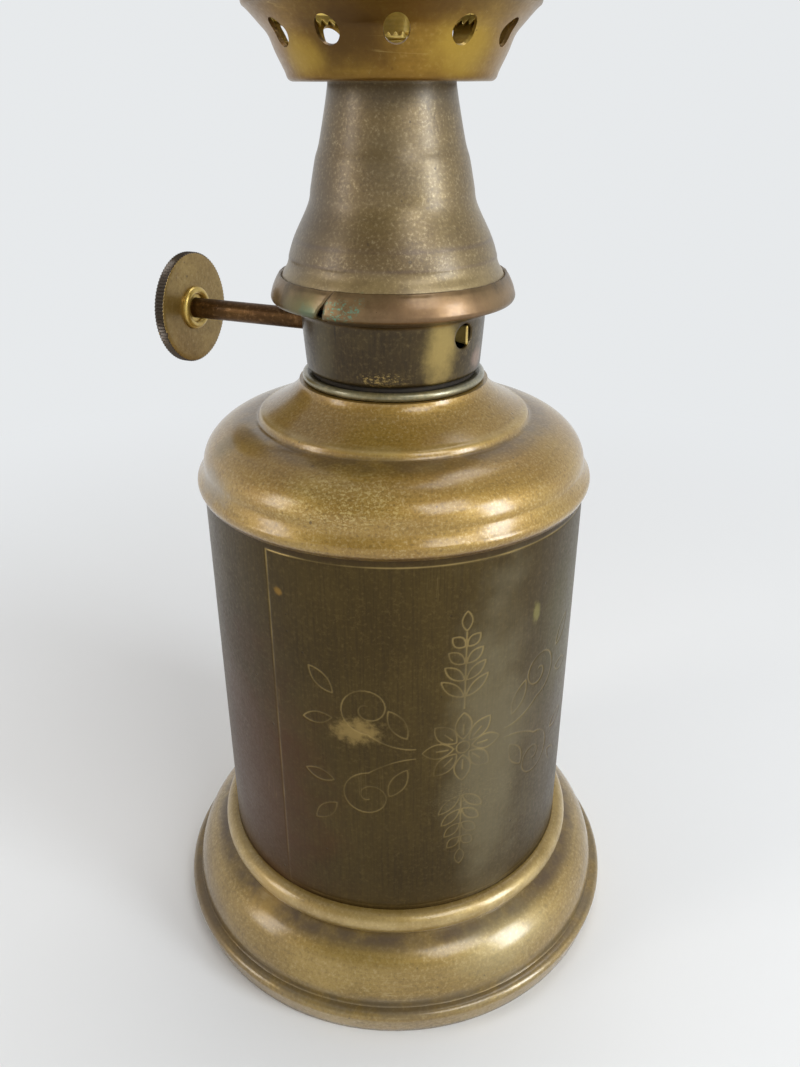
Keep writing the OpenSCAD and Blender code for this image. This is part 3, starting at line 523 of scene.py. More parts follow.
coneBrass = agedBrass("cone brass", {
    "metal": seen(126, 104, 54), "patina": seen(98, 78, 36), "tint": seen(104, 79, 42),
    "dark": seen(60, 44, 22), "bright": seen(190, 170, 128), "rough": 0.42, "blotchScale": 60.0,
    "film": 0.8, "filmRough": 0.36, "grainShare": 0.4, "grainScale": 2500.0,
    "bands": ((114.2, 117.0, 0.55, seen(170, 146, 94)), (120.0, 120.5, 0.5, seen(74, 54, 42)),
              (117.7, 118.1, 0.45, seen(80, 58, 44)), (137.5, 140.5, 0.6, seen(78, 64, 42))),
    # darker low on the left: painted shade
    "patches": ((spot(-60, 12.0, 122.0), (8.0, 8.0, 12.0), 0.45, seen(88, 74, 58), 0.3, 120.0),
                (spot(10, 10.4, 131.5), (7.0, 7.0, 6.0), 0.35, seen(84, 70, 44), 0.3, 160.0),
                (spot(-14, 16.6, 115.6), (0.6, 0.6, 0.5), 0.8, seen(96, 134, 90), 0.4, 900.0))})
wheelBrass = agedBrass("wheel brass", {
    "metallic": 0.82, "film": 0.5, "metal": seen(186, 156, 84), "patina": seen(156, 128, 62),
    "marks": plain, "rough": 0.38, "markShare": 0.1, "blotchScale": 110.0, "grainShare": 0.22,
    "marked": (seen(54, 43, 34), 0.95)})
ferruleBrass = agedBrass("ferrule brass", {
    "metallic": 0.82, "film": 0.5, "metal": seen(238, 210, 118), "patina": seen(212, 180, 90),
    "rough": 0.28, "marks": plain, "markShare": 0.1, "blotchScale": 160.0})
shaftCopper = agedBrass("shaft copper", {
    "metallic": 0.82, "film": 0.08, "metal": seen(92, 64, 24), "patina": seen(66, 44, 12),
    "tint": seen(82, 50, 16), "dark": seen(36, 20, 8), "bright": seen(160, 122, 84), "rough": 0.36,
    "blotchScale": 120.0, "marks": plain, "markShare": 0.15})
galleryBrass = agedBrass("gallery brass", {
    "metallic": 0.82, "film": 0.2, "metal": seen(178, 144, 54), "patina": seen(128, 96, 24),
    "tint": seen(122, 80, 22), "dark": seen(72, 48, 12), "bright": seen(214, 184, 108), "rough": 0.27,
    "blotchScale": 42.0, "softness": 0.25, "grainShare": 0.14, "markShare": 0.1,
    "bands": ((149.0, 155.0, 0.9, seen(72, 46, 10)), (139.8, 141.0, 0.5, seen(104, 72, 26))),
    "patches": ((spot(-19, 15.8, 145.6), (7.5, 7.5, 6.5), 0.9, seen(74, 48, 3), 0.25, 130.0),
                (spot(12, 16.5, 148.2), (10.0, 10.0, 3.0), 0.7, seen(84, 56, 10), 0.25, 150.0),
                (spot(-48, 14.8, 143.2), (4.5, 4.5, 2.6), 0.5, seen(186, 152, 52), 0.3, 160.0),
                (spot(34, 15.5, 144.2), (6.5, 6.5, 3.6), 0.5, seen(190, 156, 60), 0.3, 140.0),
                (spot(-78, 16.0, 145.0), (7.0, 7.0, 7.0), 0.5, seen(150, 120, 92), 0.3, 140.0),
                (spot(76, 16.0, 145.0), (8.0, 8.0, 7.0), 0.5, seen(150, 122, 92), 0.3, 140.0))})
innerBrass = agedBrass("inner brass", {
    "metallic": 0.82, "film": 0.5, "metal": seen(228, 200, 104), "patina": seen(204, 172, 80),
    "rough": 0.32, "grainShare": 0.15})
# dark leather, made darker still with painted shade of the gap under the collar
gasketLeather = clothMaterial("gasket leather", {
    "light": seen(54, 42, 24), "dark": seen(30, 22, 12), "deep": seen(16, 12, 7), "scale": 300.0,
    "fibres": plain, "fibreScale": 900.0, "rough": 0.8, "depth": 0.0001})
feltCloth = clothMaterial("felt cloth", {
    "light": seen(214, 206, 186), "dark": seen(184, 172, 148), "deep": seen(140, 128, 104),
    "scale": 90.0, "fibres": (1.0, 1.0, 0.6), "fibreScale": 1400.0, "rough": 0.95, "depth": 0.0004})
wickCotton = clothMaterial("wick cotton", {
    "light": seen(226, 218, 196), "dark": seen(200, 186, 156), "deep": seen(132, 116, 88),
    "scale": 200.0, "fibres": (1.0, 1.0, 0.12), "fibreScale": 1500.0, "rough": 0.95, "depth": 0.0003})
chimneyGlass = glassMaterial("chimney glass")
print("materials made:", len(bpy.data.materials))


# Foot

footSizes = {"steps": 176, "grid": 1.2, "wall": 0.8, "edge": 0.12}
footPath = ([(36.8, 0.0), (38.9, 0.0), (39.2, 0.3)]
            + arcPath((38.9, 3.75), 1.1, 1.1, -12, 90, 10)  # rolled lip
            + [(38.3, 4.85)] + arcPath((30.53, 4.85), 7.67, 9.568, 1, 72, 26)  # round moulding
            + arcPath((30.3, 16.05), 2.2, 2.1, -48, 90, 16) + [(30.2, 18.15)])  # bead
makePiece("foot_shell", lathe(densePath(footPath, footSizes["grid"]), footSizes["steps"]), "tank",
          footBrass, ["base_shell"], wall=footSizes["wall"], edge=footSizes["edge"])
print("foot made")


# Tank with its engraved frame line and a leaf ornament of no maker

tankSizes = {"radius": 30.2, "bottom": 8.0, "top": 85.5, "wall": 0.6, "grid": 1.0, "cuts": 5,
             "lineHalf": 0.2, "lineDepth": 0.13, "dotStep": 0.08, "frameLow": 18.9, "frameHigh": 82.2,
             "frameLeft": -36.5, "frameRight": 76.0, "ornamentHeight": 50.5}  # left and right: bearings


def petal(centre, direction, near, far, half, steps=14):  # a leaf outline that starts and ends at its foot
    along = Vector((math.cos(direction), math.sin(direction)))
    across = Vector((-along.y, along.x))
    way = [k / steps for k in range(steps + 1)]
    side = [(near + (far - near) * t, half * math.sin(math.pi * t) ** 0.8) for t in way]
    loop = side + [(a, -b) for a, b in reversed(side)]
    return [Vector(centre) + along * a + across * b for a, b in loop]


def ornamentLines():  # in mm to the right of and above the ornament's middle
    lines = []
    for k in range(8):
        turn = math.tau * k / 8
        lines.append(petal((0, 0), turn, 1.5, 6.4, 1.35))
        lines.append([Vector((math.cos(turn), math.sin(turn))) * r for r in (2.4, 4.2)])
    lines.append([Vector((math.cos(t), math.sin(t))) * 1.1 for t in
                  [math.tau * k / 16 for k in range(17)]])
    for flipX in (-1, 1):
        for flipZ in (-1, 1):
            spiral = []
            for k in range(41):  # a scroll that winds in at its outer end
                turn = math.radians(k * 13.5)
                reach = 4.6 - 0.1 * k
                spiral.append(Vector((14.5 + reach * math.sin(turn), 8.2 - reach * math.cos(turn))))
            stem = [Vector((7.4 + 7.1 * t, 0.9 + 2.7 * t ** 2)) for t in [k / 10 for k in range(11)]]
            bud = petal((8.5, 2.6), math.radians(62), 0.4, 6.2, 1.2)
            tip = petal((19.3, 10.0), math.radians(48), 0.6, 6.0, 1.1)
            low = petal((19.6, 6.0), math.radians(-12), 0.4, 5.2, 1.0)
            for line in (spiral, stem, bud, tip, low):
                lines.append([Vector((flipX * p.x, flipZ * p.y)) for p in line])
    for flipZ in (-1, 1):  # a sprig over and under the rosette
        lines.append([Vector((0, flipZ * z)) for z in (7.2, 20.5)])
        for k in range(4):
            for flipX in (-1, 1):
                lean = math.radians(90 - flipX * 48) * flipZ
                lines.append(petal((0, flipZ * (9.2 + 2.9 * k)), lean, 0.3, 5.0 - 0.7 * k, 0.85))
        lines.append(petal((0, flipZ * 20.5), math.pi / 2 * flipZ, 0.2, 3.4, 0.8))
    return lines


def makeTank():
    size = tankSizes
    radius = size["radius"]
    rows = math.ceil((size["top"] - size["bottom"]) / size["grid"])
    outer = [(radius, size["bottom"] + (size["top"] - size["bottom"]) * k / rows)
             for k in range(rows + 1)]
    inner = [(radius - size["wall"], size["top"]), (radius - size["wall"], size["bottom"])]
    mesh = lathe(outer + inner, round(math.tau * radius / size["grid"]), closed=True)

    def onWall(angle):  # a bearing in degrees as mm round the wall
        return math.radians(angle) * radius

    left, right = onWall(size["frameLeft"]), onWall(size["frameRight"])
    low, high = size["frameLow"], size["frameHigh"]
    corners = [Vector(p) for p in ((left, high), (right, high), (right, low), (left, low), (left, high))]
    frameLine = [a.lerp(b, k / 40) for a, b in zip(corners, corners[1:]) for k in range(41)]
    middle = Vector(((left + right) / 2, size["ornamentHeight"]))
    lines = [frameLine] + [[p + middle for p in line] for line in ornamentLines()]
    dots = []
    for line in lines:
        for a, b in zip(line, line[1:]):
            parts = max(1, math.ceil((b - a).length / size["dotStep"]))
            dots += [a.lerp(b, k / parts) for k in range(parts + 1)]
    tree = KDTree(len(dots))
    for k, dot in enumerate(dots):
        tree.insert((*dot, 0), k)
    tree.balance()

    def offLine(point):  # how far a point of the wall is from the nearest engraved line
        angle = math.atan2(point.x, -point.y)
        if angle < math.radians(-120):  # the frame reaches round the right side
            angle += math.tau
        return tree.find((angle * radius, point.z / mm, 0))[2]

    near = size["grid"] * 0.75 + size["lineHalf"]
    outside = (radius - size["wall"] / 2) * mm
    close = [f for f in mesh.faces if f.calc_center_median().xy.length > outside
             and offLine(f.calc_center_median()) < near]
    edges = {e for f in close for e in f.edges}
    bmesh.ops.subdivide_edges(mesh, edges=list(edges), cuts=size["cuts"], use_grid_fill=True)
    depth = mesh.verts.layers.float.new("marked")
    for v in mesh.verts:
        if v.co.xy.length < outside:
            continue
        off = offLine(v.co)
        cut = max(0.0, 1 - (off / size["lineHalf"]) ** 2)
        wear = 0.6 + 0.45 * noise.noise(v.co * 260.0)  # strokes are worn here and there
        wear *= 0.55 + 0.45 * (v.co.z / mm - low) / (high - low)
        v[depth] = cut * wear
        v.co.xy = v.co.xy.normalized() * (radius - size["lineDepth"] * cut * wear) * mm
    bmesh.ops.recalc_face_normals(mesh, faces=mesh.faces)
    return mesh


makePiece("tank_wall", makeTank(), "tank", tankBrass, ["tank_body"], sharp=50)
print("tank made")


# Shoulder, filler neck and gasket

shoulderSizes = {"steps": 176, "grid": 1.0, "wall": 0.7, "throat": 16}


def throat(steps):  # the cap's hollow cone, from its ridge in to the filler neck
    shares = [k / steps for k in range(steps + 1)]
    return [(14.45 + 5.7 * (1 - u) ** 1.6, 95.1 + 4.6 * u) for u in shares]


shoulderPath = ([(30.675, 83.5)] + arcPath((30.2, 84.83), 0.95, 1.2, -35, 50, 8)  # lip
                + arcPath((20.5, 87.2), 9.5, 6.7, 0, 82, 26)  # dome
                + [(21.35, 93.84), (21.12, 94.02), (21.0, 94.35), (20.86, 94.7), (20.6, 94.98)]
                + throat(shoulderSizes["throat"]) + [(13.1, 99.7)])
makePiece("shoulder_dome", lathe(densePath(shoulderPath, shoulderSizes["grid"]), shoulderSizes["steps"]),
          "tank", shoulderBrass, ["shoulder_cap"], wall=shoulderSizes["wall"], sharp=50)
neckPath = ([(11.06, 93.5), (13.1, 93.5), (13.1, 99.7)] + arcPath((13.3, 100.35), 0.65, 0.65, -90, 110, 14)
            + [(12.6, 100.7), (11.06, 100.7)])
makePiece("neck_ring", lathe(neckPath, 144, closed=True), "tank", neckMetal,
          ["neck_socket"], sharp=50)
gasketPath = [(11.2, 100.72), (12.35, 100.7), (12.5, 100.85), (12.5, 101.25), (12.35, 101.4),
              (11.2, 101.38)]
makePiece("gasket_ring", lathe(gasketPath, 120, closed=True), "gasket",
          gasketLeather, ["neck_gasket"])
print("shoulder and neck made")


# Burner collar with its curled bead

shaftAlong = Vector((-0.91706, 0.398749, 0))
shaftStart = Vector((-1.435, -3.301, 108)) * mm
collarSizes = {"steps": 264, "grid": 0.34, "wall": 0.5, "shaftHole": 1.875, "lugHole": 1.8,
               "lugBearing": 47.0, "lugHeight": 108.0, "crackBearing": -34.0, "crackLow": 110.9,
               "crackHigh": 115.6, "crackWide": 0.5, "crackThin": 0.06, "crackLean": 1.9,
               "crackReach": 4.0, "beadInner": 14.9, "beadFoot": 110.5, "rag": 0.14, "ragTall": 0.5}
collarPath = ([(9.6, 101.4)] + arcPath((12.3, 102.3), 0.9, 0.9, -90, -5, 8)
              + [(13.475, 105.85), (13.75, 109.9), (13.95, 110.3), (14.4, 110.55), (15.5, 110.8),
                 (16.7, 111.35)]
              + arcPath((17.12, 112.35), 0.86, 0.86, -48, 24, 8)  # the curled edge
              + smoothPath([(17.91, 112.7), (17.6, 113.7), (17.1, 114.75), (16.66, 115.5)], 4)[1:])


def putOn(radiusAt):  # keeps a vertex on a turned surface at its own height
    def putBack(vert):
        vert.co.xy = vert.co.xy.normalized() * radiusAt(vert.co.z)
    return putBack


def bearingOf(point):
    return math.degrees(math.atan2(point.x, -point.y))


def openCrack(mesh):  # splits the bead along one column of edges and draws the metal away from it
    size = collarSizes
    step = 360 / size["steps"]
    low, high, reach = size["crackLow"], size["crackHigh"], size["crackReach"]

    def onBead(v):
        return v.co.z > low * mm and v.co.xy.length > size["beadInner"] * mm

    column = [v for v in mesh.verts
              if onBead(v) and abs(bearingOf(v.co) - size["crackBearing"]) < step / 2]
    inside = set(column)
    edges = {e for v in column for e in v.link_edges if e.other_vert(v) in inside}
    middle = bearingOf(column[0].co)
    bmesh.ops.split_edges(mesh, edges=list(edges))
    moves = []
    for v in mesh.verts:
        if not onBead(v):
            continue
        off = math.radians(bearingOf(v.co) - middle) * v.co.xy.length / mm
        if abs(off) > reach:
            continue
        side = off
        if abs(off) < 0.02:  # on the cut itself: its faces tell the side
            side = sum(bearingOf(f.calc_center_median()) - middle for f in v.link_faces)
            if not v.is_boundary:
                continue
        share = (v.co.z / mm - low) / (high - low)  # up the bead
        gape = min(1, share / 0.1) * min(1, max(0, 0.66 - share) / 0.26)  # open below, fine above
        wide = size["crackThin"] + size["crackWide"] * gape
        wide += 0.06 * noise.noise(v.co * 1800.0)
        slide = math.copysign(max(wide, 0.02), side) + size["crackLean"] * share * share
        around = Vector((-v.co.y, v.co.x, 0)).normalized()
        moves.append((v, around * slide * (1 - abs(off) / reach) * mm))
    for v, move in moves:
        v.co += move


def makeCollar():
    size = collarSizes
    path = densePath(collarPath, size["grid"])
    mesh = lathe(path, size["steps"])
    onCollar = putOn(radiusOn([p for p in path if p[1] < size["beadFoot"]]))
    pierce(mesh, shaftStart, shaftAlong, size["shaftHole"] * mm, onCollar)
    lugAxis = bearing(size["lugBearing"])
    pierce(mesh, Vector((0, 0, size["lugHeight"] * mm)), lugAxis, size["lugHole"] * mm, onCollar)
    openCrack(mesh)
    top = max(v.co.z for v in mesh.verts)
    for v in mesh.verts:  # the raw edge isn't even
        if v.co.z > top - size["ragTall"] * mm:
            v.co.z -= (0.5 + 0.5 * noise.noise(v.co * 700.0)) * size["rag"] * mm
    return mesh


makePiece("collar_bead", makeCollar(), "burner", burnerBrass, ["burner_collar"],
          wall=collarSizes["wall"], sharp=50, even=False)
flapSizes = {"deep": 2.0, "tall": 2.7, "inset": 5.0, "rim": 13.5, "turnIn": 2.6, "narrow": 0.3,
             "wall": 0.4}


def makeFlap():  # the tongue of sheet that was pressed in when the lug hole was lanced
    mesh = bmesh.new()
    size = flapSizes
    bmesh.ops.create_grid(mesh, x_segments=8, y_segments=10, size=0.5)
    for v in mesh.verts:
        share, up = v.co.x + 0.5, v.co.y  # share: 0 at the rim, 1 at the tongue's free end
        turn = collarSizes["lugBearing"] + size["inset"] - size["turnIn"] * share * share
        height = collarSizes["lugHeight"] + up * size["tall"] * (1 - size["narrow"] * share * share)
        v.co = bearing(turn, (size["rim"] - share * size["deep"]) * mm)
        v.co.z = height * mm
    return mesh


makePiece("lug_flap", makeFlap(), "burner", ferruleBrass,
          wall=flapSizes["wall"], even=False)
print("collar made")


# Cone over the burner

coneSizes = {"steps": 160, "grid": 0.8, "wall": 0.5, "edge": 0.08}
conePath = ([(17.0, 112.9), (16.75, 113.6), (16.5, 114.4)]
            + smoothPath([(16.35, 114.9), (15.95, 115.7), (15.4, 116.6), (15.12, 117.4), (14.98, 118.2),
                          (14.1, 120.6), (12.0, 124.8), (11.5, 127.2), (10.8, 130.6), (10.35, 132.0),
                          (10.0, 133.3), (9.15, 137.4), (8.76, 139.6), (8.7, 140.0)], 6) + [(8.7, 144.0)])
makePiece("cone", lathe(densePath(conePath, coneSizes["grid"]), coneSizes["steps"]), "burner",
          coneBrass, ["cone_shroud"], wall=coneSizes["wall"], edge=coneSizes["edge"])
tubePath = [(2.8, 38.4), (3.2, 38.4), (3.2, 148.9), (3.1, 149.0), (2.9, 149.0), (2.8, 148.9)]
makePiece("wick_sleeve", lathe(tubePath, 64, closed=True), "burner", innerBrass,
          ["wick_tube"])
plateSizes = {"outer": 8.2, "inner": 4.1, "height": 143.7, "grid": 0.3, "steps": 192, "holes": 8,
              "holesAt": 6.15, "hole": 1.3, "wall": 0.5, "teeth": 24, "toothFoot": 145.5,
              "toothTall": 0.4, "toothDeep": 0.75}


def makeCentringPlate():
    size = plateSizes
    holes = [bearing(360 / size["holes"] * k, size["holesAt"] * mm) for k in range(size["holes"])]
    return sheetRing(size["outer"], size["inner"], size["height"], size["grid"], size["steps"], holes,
                     size["hole"], size["wall"])


def makeToothedCollar():  # the upright collar round the wick tube
    size = plateSizes
    teeth, foot = size["teeth"], size["toothFoot"]
    path = ([(3.22, 143.2), (4.1, 143.2), (4.1, 144.4)] + arcPath((4.0, 144.65), 0.1, 0.25, -90, 90, 6)
            + arcPath((4.0, 145.1), 0.1, 0.2, -90, 90, 6)
            + [(4.0, 145.3), (3.9, 145.6), (3.8, 145.9), (3.22, 145.9)])
    mesh = lathe(path, teeth * 8, closed=True)
    for v in mesh.verts:
        if v.co.z > foot * mm:
            phase = (bearingOf(v.co) / 360 * teeth) % 1
            deep = size["toothDeep"] * abs(phase * 2 - 1) ** 1.5
            v.co.z -= deep * mm * (v.co.z / mm - foot) / size["toothTall"]
    return mesh


makePiece("centring_ring", makeCentringPlate(), "burner", innerBrass, ["centring_plate"])
makePiece("centring_teeth", makeToothedCollar(), "burner", innerBrass, sharp=30)
print("cone made")


# Shaft, thumb wheel and ferrule, built along Z and then laid on the shaft's line

shaftAcross = Vector((-shaftAlong.y, shaftAlong.x, 0))
shaftPlace = Matrix(((0, 0, -1), shaftAcross, shaftAlong)).transposed().to_4x4()
shaftPlace.translation = shaftStart
wheelSizes = {"radius": 8.5, "half": 0.8, "hole": 2.15, "along": 33.7, "notches": 96, "depth": 0.22,
              "round": 0.28, "burr": 0.03, "burrAt": (0.3, 0.954), "burrOut": 1.045, "burrDown": 0.25,
              "wave": 0.05}


def layOnShaft(mesh, along=0.0):
    bmesh.ops.transform(mesh, matrix=shaftPlace @ Matrix.Translation((0, 0, along * mm)), verts=mesh.verts)
    return mesh


def makeWheel():
    size = wheelSizes
    radius, half, soft = size["radius"], size["half"], size["round"]
    path = ([(size["hole"], -half), (radius - 3, -half), (radius - 1, -half)]
            + arcPath((radius - soft, -half + soft), soft, soft, -90, 0, 4)
            + [(radius, 0.0)] + arcPath((radius - soft, half - soft), soft, soft, 0, 90, 4)
            + [(radius - 1, half), (radius - 3, half), (size["hole"], half)])
    mesh = lathe(path, size["notches"] * 4, closed=True)
    mark = mesh.verts.layers.float.new("marked")
    for v in mesh.verts:
        reach = v.co.xy.length / mm
        if reach > radius - soft * 0.6:
            v[mark] = 1.0
            if (v.co.xy.normalized() - Vector(size["burrAt"])).length < size["burr"]:
                v.co.xy *= size["burrOut"]
                v.co.z -= size["burrDown"] * mm
        if reach > radius - soft * 1.2:
            phase = (bearingOf(v.co) / 360 * size["notches"]) % 1
            notch = size["depth"] * (0.5 - 0.5 * math.cos(math.tau * phase))
            share = min(1, (reach - radius + soft * 1.2) / (soft * 1.2))
            v.co.xy = v.co.xy.normalized() * (reach - notch * share) * mm
        wave = noise.noise(Vector((v.co.x, v.co.y, 0)) * 180.0)
        v.co.z += wave * size["wave"] * mm * (reach / radius) ** 2
    return layOnShaft(mesh, size["along"])


ferrulePath = ([(1.58, -0.95), (2.08, -0.95)] + arcPath((2.72, -0.98), 0.62, 0.58, 180, 360, 12)
               + [(3.34, -0.82), (2.12, -0.82), (2.12, 0.82), (3.34, 0.82)]
               + arcPath((2.72, 0.98), 0.62, 0.58, 0, 180, 12) + [(2.08, 0.95), (1.58, 0.95)])
shaftPath = ([(0.0, -4.725), (1.05, -4.725), (1.2, -4.575), (1.2, 3.425)]
             + densePath([(1.55, 3.425), (1.55, 35.4)], 1.6) + [(1.3, 35.7), (0.0, 35.7)])
makePiece("thumb_disc", makeWheel(), "knob", wheelBrass, ["thumb_wheel"], sharp=50)
makePiece("thumb_ferrule", layOnShaft(lathe(ferrulePath, 96, closed=True), wheelSizes["along"]),
          "knob", ferruleBrass, ["wheel_ferrule"], sharp=40)
makePiece("shaft_rod", layOnShaft(lathe(shaftPath, 48)), "knob", shaftCopper,
          ["knob_shaft"], sharp=40)
print("shaft and wheel made")


# Gallery: pierced cup, floor, sleeve and the chimney's holder

gallerySizes = {"steps": 288, "grid": 0.36, "wall": 0.5, "edge": 0.1, "holes": 12, "hole": 1.6,
                "holeHeight": 145.6, "holeTurn": 2.0, "holedTo": 148.9, "floorInner": 9.2,
                "floorOuter": 13.1, "floorTop": 141.2, "floorHole": 0.6, "ring": 18.1, "slots": 12,
                "slotTurn": 15.0, "slotHalf": 0.8, "slotLow": 151.6, "skirtTeeth": 90,
                "toothTop": 148.4, "toothTall": 1.1, "toothDeep": 0.8, "toothFlare": 0.6,
                "skirtWall": 0.25}
cupPath = ([(12.0, 140.2)] + arcPath((13.2, 141.1), 0.9, 0.9, -90, -12, 7)
           + smoothPath([(14.09, 140.95), (14.35, 141.6), (15.35, 143.6), (16.2, 145.6), (17.2, 146.8),
                         (18.7, 148.4), (19.35, 148.95)], 6)
           + arcPath((18.8, 149.4), 0.7, 0.7, -40, 75, 8) + [(18.75, 150.35), (18.6, 150.7), (18.6, 154.3)])


def makeCup():
    size = gallerySizes
    path = densePath(cupPath, size["grid"])
    mesh = lathe(path, size["steps"])
    onCup = putOn(radiusOn([p for p in path if p[1] < size["holedTo"]]))
    for k in range(size["holes"]):
        outward = bearing(size["holeTurn"] + 360 / size["holes"] * k)
        pierce(mesh, Vector((0, 0, size["holeHeight"] * mm)), outward, size["hole"] * mm, onCup)
    return mesh


def makeGalleryFloor():
    size = gallerySizes
    holes = [bearing(18 * k + turn, reach * mm) for reach, turn in ((11.8, 0.0), (10.4, 9.0))
             for k in range(20)]
    return sheetRing(size["floorOuter"], size["floorInner"], size["floorTop"], 0.22, 300, holes,
                     size["floorHole"], size["wall"])


def makeHolder():  # the ledge that the chimney stands on and the spring fingers round its foot
    size = gallerySizes
    ring, pitch = size["ring"], 360 / size["slots"]
    path = [(15.3, 150.8), (17.9, 150.8), (ring, 151.0), (ring, 151.6), (ring, 157.8)]
    mesh = lathe(densePath(path, 0.8), 360)

    def offSlot(point):  # mm round the ring from the nearest slot's middle
        angle = (bearingOf(point) - size["slotTurn"] + pitch / 2) % pitch - pitch / 2
        return math.radians(angle) * ring

    gone = [f for f in mesh.faces if f.calc_center_median().z > size["slotLow"] * mm
            and abs(offSlot(f.calc_center_median())) < size["slotHalf"]]
    bmesh.ops.delete(mesh, geom=gone, context="FACES")
    return mesh


def makeSkirt():  # the fine-toothed skirt inside the cup, under the holder
    size = gallerySizes
    teeth, top = size["skirtTeeth"], size["toothTop"]
    path = densePath([(16.75, 147.3), (17.75, 148.7), (17.8, 149.6), (17.7, 150.75)], 0.3)
    mesh = lathe(path, teeth * 4)
    for v in mesh.verts:
        height = v.co.z / mm
        if height < top:
            phase = (bearingOf(v.co) / 360 * teeth) % 1
            share = (top - height) / size["toothTall"]
            lift = size["toothDeep"] * abs(phase * 2 - 1) * share * mm
            v.co.z += lift
            v.co.xy = v.co.xy.normalized() * (v.co.xy.length + lift * size["toothFlare"])
    return mesh


makePiece("gallery_bell", makeCup(), "gallery", galleryBrass, ["gallery_cup"],
          wall=gallerySizes["wall"], edge=gallerySizes["edge"], sharp=50, even=False)
makePiece("gallery_grille", makeGalleryFloor(), "gallery", galleryBrass,
          ["gallery_floor"])
sleevePath = [(8.75, 140.25), (9.2, 140.2), (9.2, 143.7), (9.1, 143.8), (8.85, 143.8), (8.75, 143.7)]
makePiece("gallery_socket", lathe(sleevePath, 120, closed=True), "gallery",
          galleryBrass, ["gallery_sleeve"])
makePiece("chimney_fingers", makeHolder(), "gallery", galleryBrass,
          ["chimney_holder"], wall=gallerySizes["wall"])
makePiece("gallery_skirt", makeSkirt(), "gallery", innerBrass,
          wall=gallerySizes["skirtWall"])
print("gallery made")


# Chimney and wick

glassSizes = {"foot": 17.3, "mouth": 13.0, "wall": 1.5, "steps": 128, "grid": 2.5}
glassLine = smoothPath([(glassSizes["foot"], 151.9), (glassSizes["foot"], 160.3), (19.3, 176.3),
                        (16.906, 203.5), (13.882, 230.7), (glassSizes["mouth"], 255.5)], 10)


def glassOutline():  # up the outside, round the mouth's rim, down the inside and round the foot's
    wall = glassSizes["wall"]
    inside = [(r - wall, z) for r, z in reversed(glassLine)]
    rim = arcPath((glassSizes["mouth"] - wall / 2, 255.55), wall / 2, 0.75, 10, 170, 6)
    foot = arcPath((glassSizes["foot"] - wall / 2, 151.95), wall / 2, 0.65, 190, 350, 6)
    return glassLine + rim + inside + foot


makePiece("chimney", lathe(densePath(glassOutline(), glassSizes["grid"]), glassSizes["steps"], closed=True),
          "chimney", chimneyGlass, ["glass_chimney"], sharp=60)
wickSizes = {"low": 15.0, "radius": 2.7, "top": 149.5, "highest": 150.58, "flat": 1.6, "tuftFrom": 148.5,
             "tuft": 0.3}


def makeWick():
    size = wickSizes
    radius, low, top = size["radius"], size["low"] + 0.2, size["top"]
    path = ([(0.0, size["low"]), (radius - 0.1, size["low"]), (radius, low)]
            + [(radius, low + (top - low) * k / 60) for k in range(1, 61)]
            + [(2.55, 150.1), (1.9, 150.4), (1.0, 150.5), (0.0, 150.45)])
    mesh = lathe(path, 72)
    for v in mesh.verts:
        above = v.co.z / mm - size["tuftFrom"]
        if above > 0 and v.co.xy.length > 0.2 * mm:  # the burnt end is uneven
            tuft = noise.noise(Vector((v.co.x, v.co.y, 0)) * 3200.0)
            v.co.z = min(v.co.z + size["tuft"] * tuft * mm * above / 2, size["highest"] * mm)
        out = v.co.dot(shaftAcross)
        if out > size["flat"] * mm:  # flat towards the toothed wheel
            v.co -= shaftAcross * (out - size["flat"] * mm)
    bmesh.ops.recalc_face_normals(mesh, faces=mesh.faces)
    return mesh


makePiece("wick_strand", makeWick(), "wick", wickCotton, ["wick"])
print("chimney and wick made")


# CAD solids that stay as they are, inside the lamp

keptNodes = dict.fromkeys(("foot_plate", "tank_floor", "well_tube", "burner_plug", "tube_bracket",
                           "spur_wheel", "shaft_ring"), innerBrass)
keptNodes["felt_filling"] = feltCloth
for name, material in keptNodes.items():
    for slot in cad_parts[name].material_slots:
        slot.material = material
print("inner parts dressed:", len(keptNodes))


# Floor, light and camera

stageLooks = {"pale": (0.80, 0.82, 0.835), "floor": (0.8, 0.785, 0.76), "floorRough": 0.75,
              "fadeFrom": 0.06, "fadeTo": 0.3, "dim": (0.13, 0.13, 0.13), "behind": (0.5, 0.51, 0.53),
              "frontFrom": -0.8, "frontTo": 0.5, "riseFrom": 0.22, "riseTo": 0.56}


def makeFloor():  # lit round the lamp, and farther out as pale as the backdrop
    look = stageLooks
    mesh = bmesh.new()
    bmesh.ops.create_circle(mesh, cap_ends=True, segments=96, radius=3.0)
    data = bpy.data.meshes.new("floor")
    mesh.to_mesh(data)
    mesh.free()
    floor = bpy.data.objects.new("floor", data)
    bpy.context.scene.collection.objects.link(floor)
    material, tree, shader, place = startMaterial("pale floor")
    feed(tree, shader.inputs["Base Color"], look["floor"])
    feed(tree, shader.inputs["Roughness"], look["floorRough"])
    glow = tree.nodes.new("ShaderNodeEmission")
    feed(tree, glow.inputs["Color"], look["pale"])
    mix = tree.nodes.new("ShaderNodeMixShader")
    far = vectorNode(tree, "LENGTH", place)
    feed(tree, mix.inputs[0], rampNode(tree, far, look["fadeFrom"], look["fadeTo"]))
    feed(tree, mix.inputs[1], shader.outputs[0])
    feed(tree, mix.inputs[2], glow.outputs[0])
    output = next(n for n in tree.nodes if n.type == "OUTPUT_MATERIAL")
    feed(tree, output.inputs["Surface"], mix.outputs[0])
    data.materials.append(material)


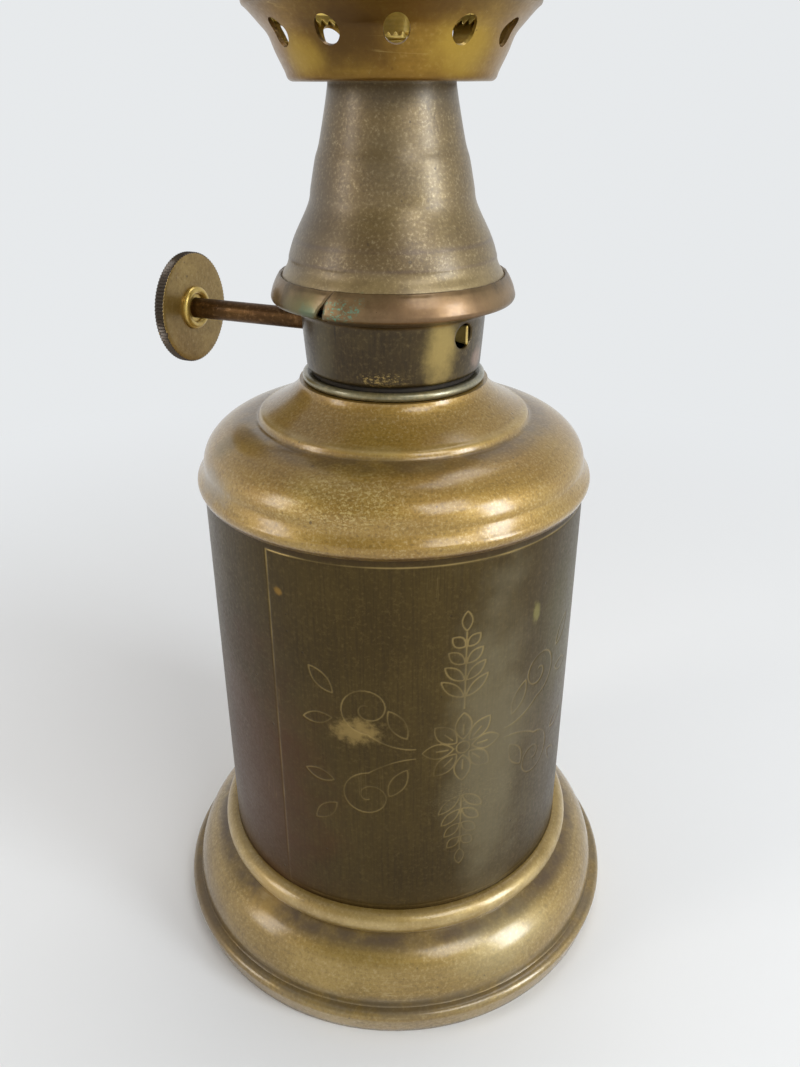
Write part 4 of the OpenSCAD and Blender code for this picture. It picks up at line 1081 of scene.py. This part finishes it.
def addLamp(name, place, target, size, power, colour):  # size: width and height
    data = bpy.data.lights.new(name, "AREA")
    data.shape = "RECTANGLE"
    data.size, data.size_y = size
    data.energy = power
    data.color = colour
    lamp = bpy.data.objects.new(name, data)
    lamp.location = place
    lamp.rotation_euler = (Vector(target) - Vector(place)).to_track_quat("-Z", "Y").to_euler()
    bpy.context.scene.collection.objects.link(lamp)


def makeWorld():  # pale up to well over the horizon, and dim in front of and above the lamp
    look = stageLooks
    world = bpy.data.worlds.new("studio")
    bpy.context.scene.world = world
    world.use_nodes = True
    tree = world.node_tree
    tree.nodes.clear()
    way = tree.nodes.new("ShaderNodeSeparateXYZ")
    feed(tree, way.inputs[0], tree.nodes.new("ShaderNodeTexCoord").outputs["Generated"])
    front = rampNode(tree, way.outputs[1], look["frontFrom"], look["frontTo"])
    upper = mixColour(tree, front, look["dim"], look["behind"])
    rise = rampNode(tree, way.outputs[2], look["riseFrom"], look["riseTo"])
    around = tree.nodes.new("ShaderNodeBackground")
    feed(tree, around.inputs["Color"], mixColour(tree, rise, look["pale"], upper))
    output = tree.nodes.new("ShaderNodeOutputWorld")
    feed(tree, output.inputs["Surface"], around.outputs[0])


makeFloor()
makeWorld()
# place, target, width and height in metres, watts, colour
lamps = {"window": ((0.5, -0.3, 0.24), (0, 0, 0.09), (0.16, 0.34), 2.5, (0.84, 0.92, 1.0)),
         "key": ((0.3, -0.45, 0.55), (0, 0, 0.09), (0.3, 0.3), 1.6, (0.93, 0.96, 1.0)),
         "fill": ((-0.55, -0.2, 0.3), (0, 0, 0.09), (0.15, 0.3), 0.8, (1.0, 0.97, 0.93)),
         "top": ((0.1, 0.25, 0.8), (0, 0, 0.1), (0.4, 0.4), 1.6, (0.97, 0.98, 1.0))}
for name, lamp in lamps.items():
    addLamp(name, *lamp)
bpy.context.scene.view_settings.view_transform = "Standard"

cameraLooks = {"place": (0.0, -135.27, 139.862), "down": 0.463, "turn": 0.007, "roll": -0.002,
               "focal": 900.0, "photoHeight": 1067.0}


def makeCamera():
    look = cameraLooks  # place in mm, angles in radians, focal length in the photo's pixels
    down, turn, roll = look["down"], look["turn"], look["roll"]
    ahead = Vector((math.sin(turn) * math.cos(down), math.cos(turn) * math.cos(down), -math.sin(down)))
    right = Vector((math.cos(turn), -math.sin(turn), 0))
    up = right.cross(ahead)
    tilted = right * math.cos(roll) + up * math.sin(roll)
    raised = up * math.cos(roll) - right * math.sin(roll)
    data = bpy.data.cameras.new("photo camera")
    data.sensor_fit = "AUTO"
    data.sensor_width = 36.0
    data.lens = look["focal"] / look["photoHeight"] * 36.0
    data.clip_start = 0.005
    data.clip_end = 20.0
    camera = bpy.data.objects.new("photo camera", data)
    axes = Matrix((tilted, raised, -ahead)).transposed().to_4x4()
    camera.matrix_world = Matrix.Translation(Vector(look["place"]) * mm) @ axes
    bpy.context.scene.collection.objects.link(camera)
    bpy.context.scene.camera = camera


makeCamera()
print("stage, light and camera set")
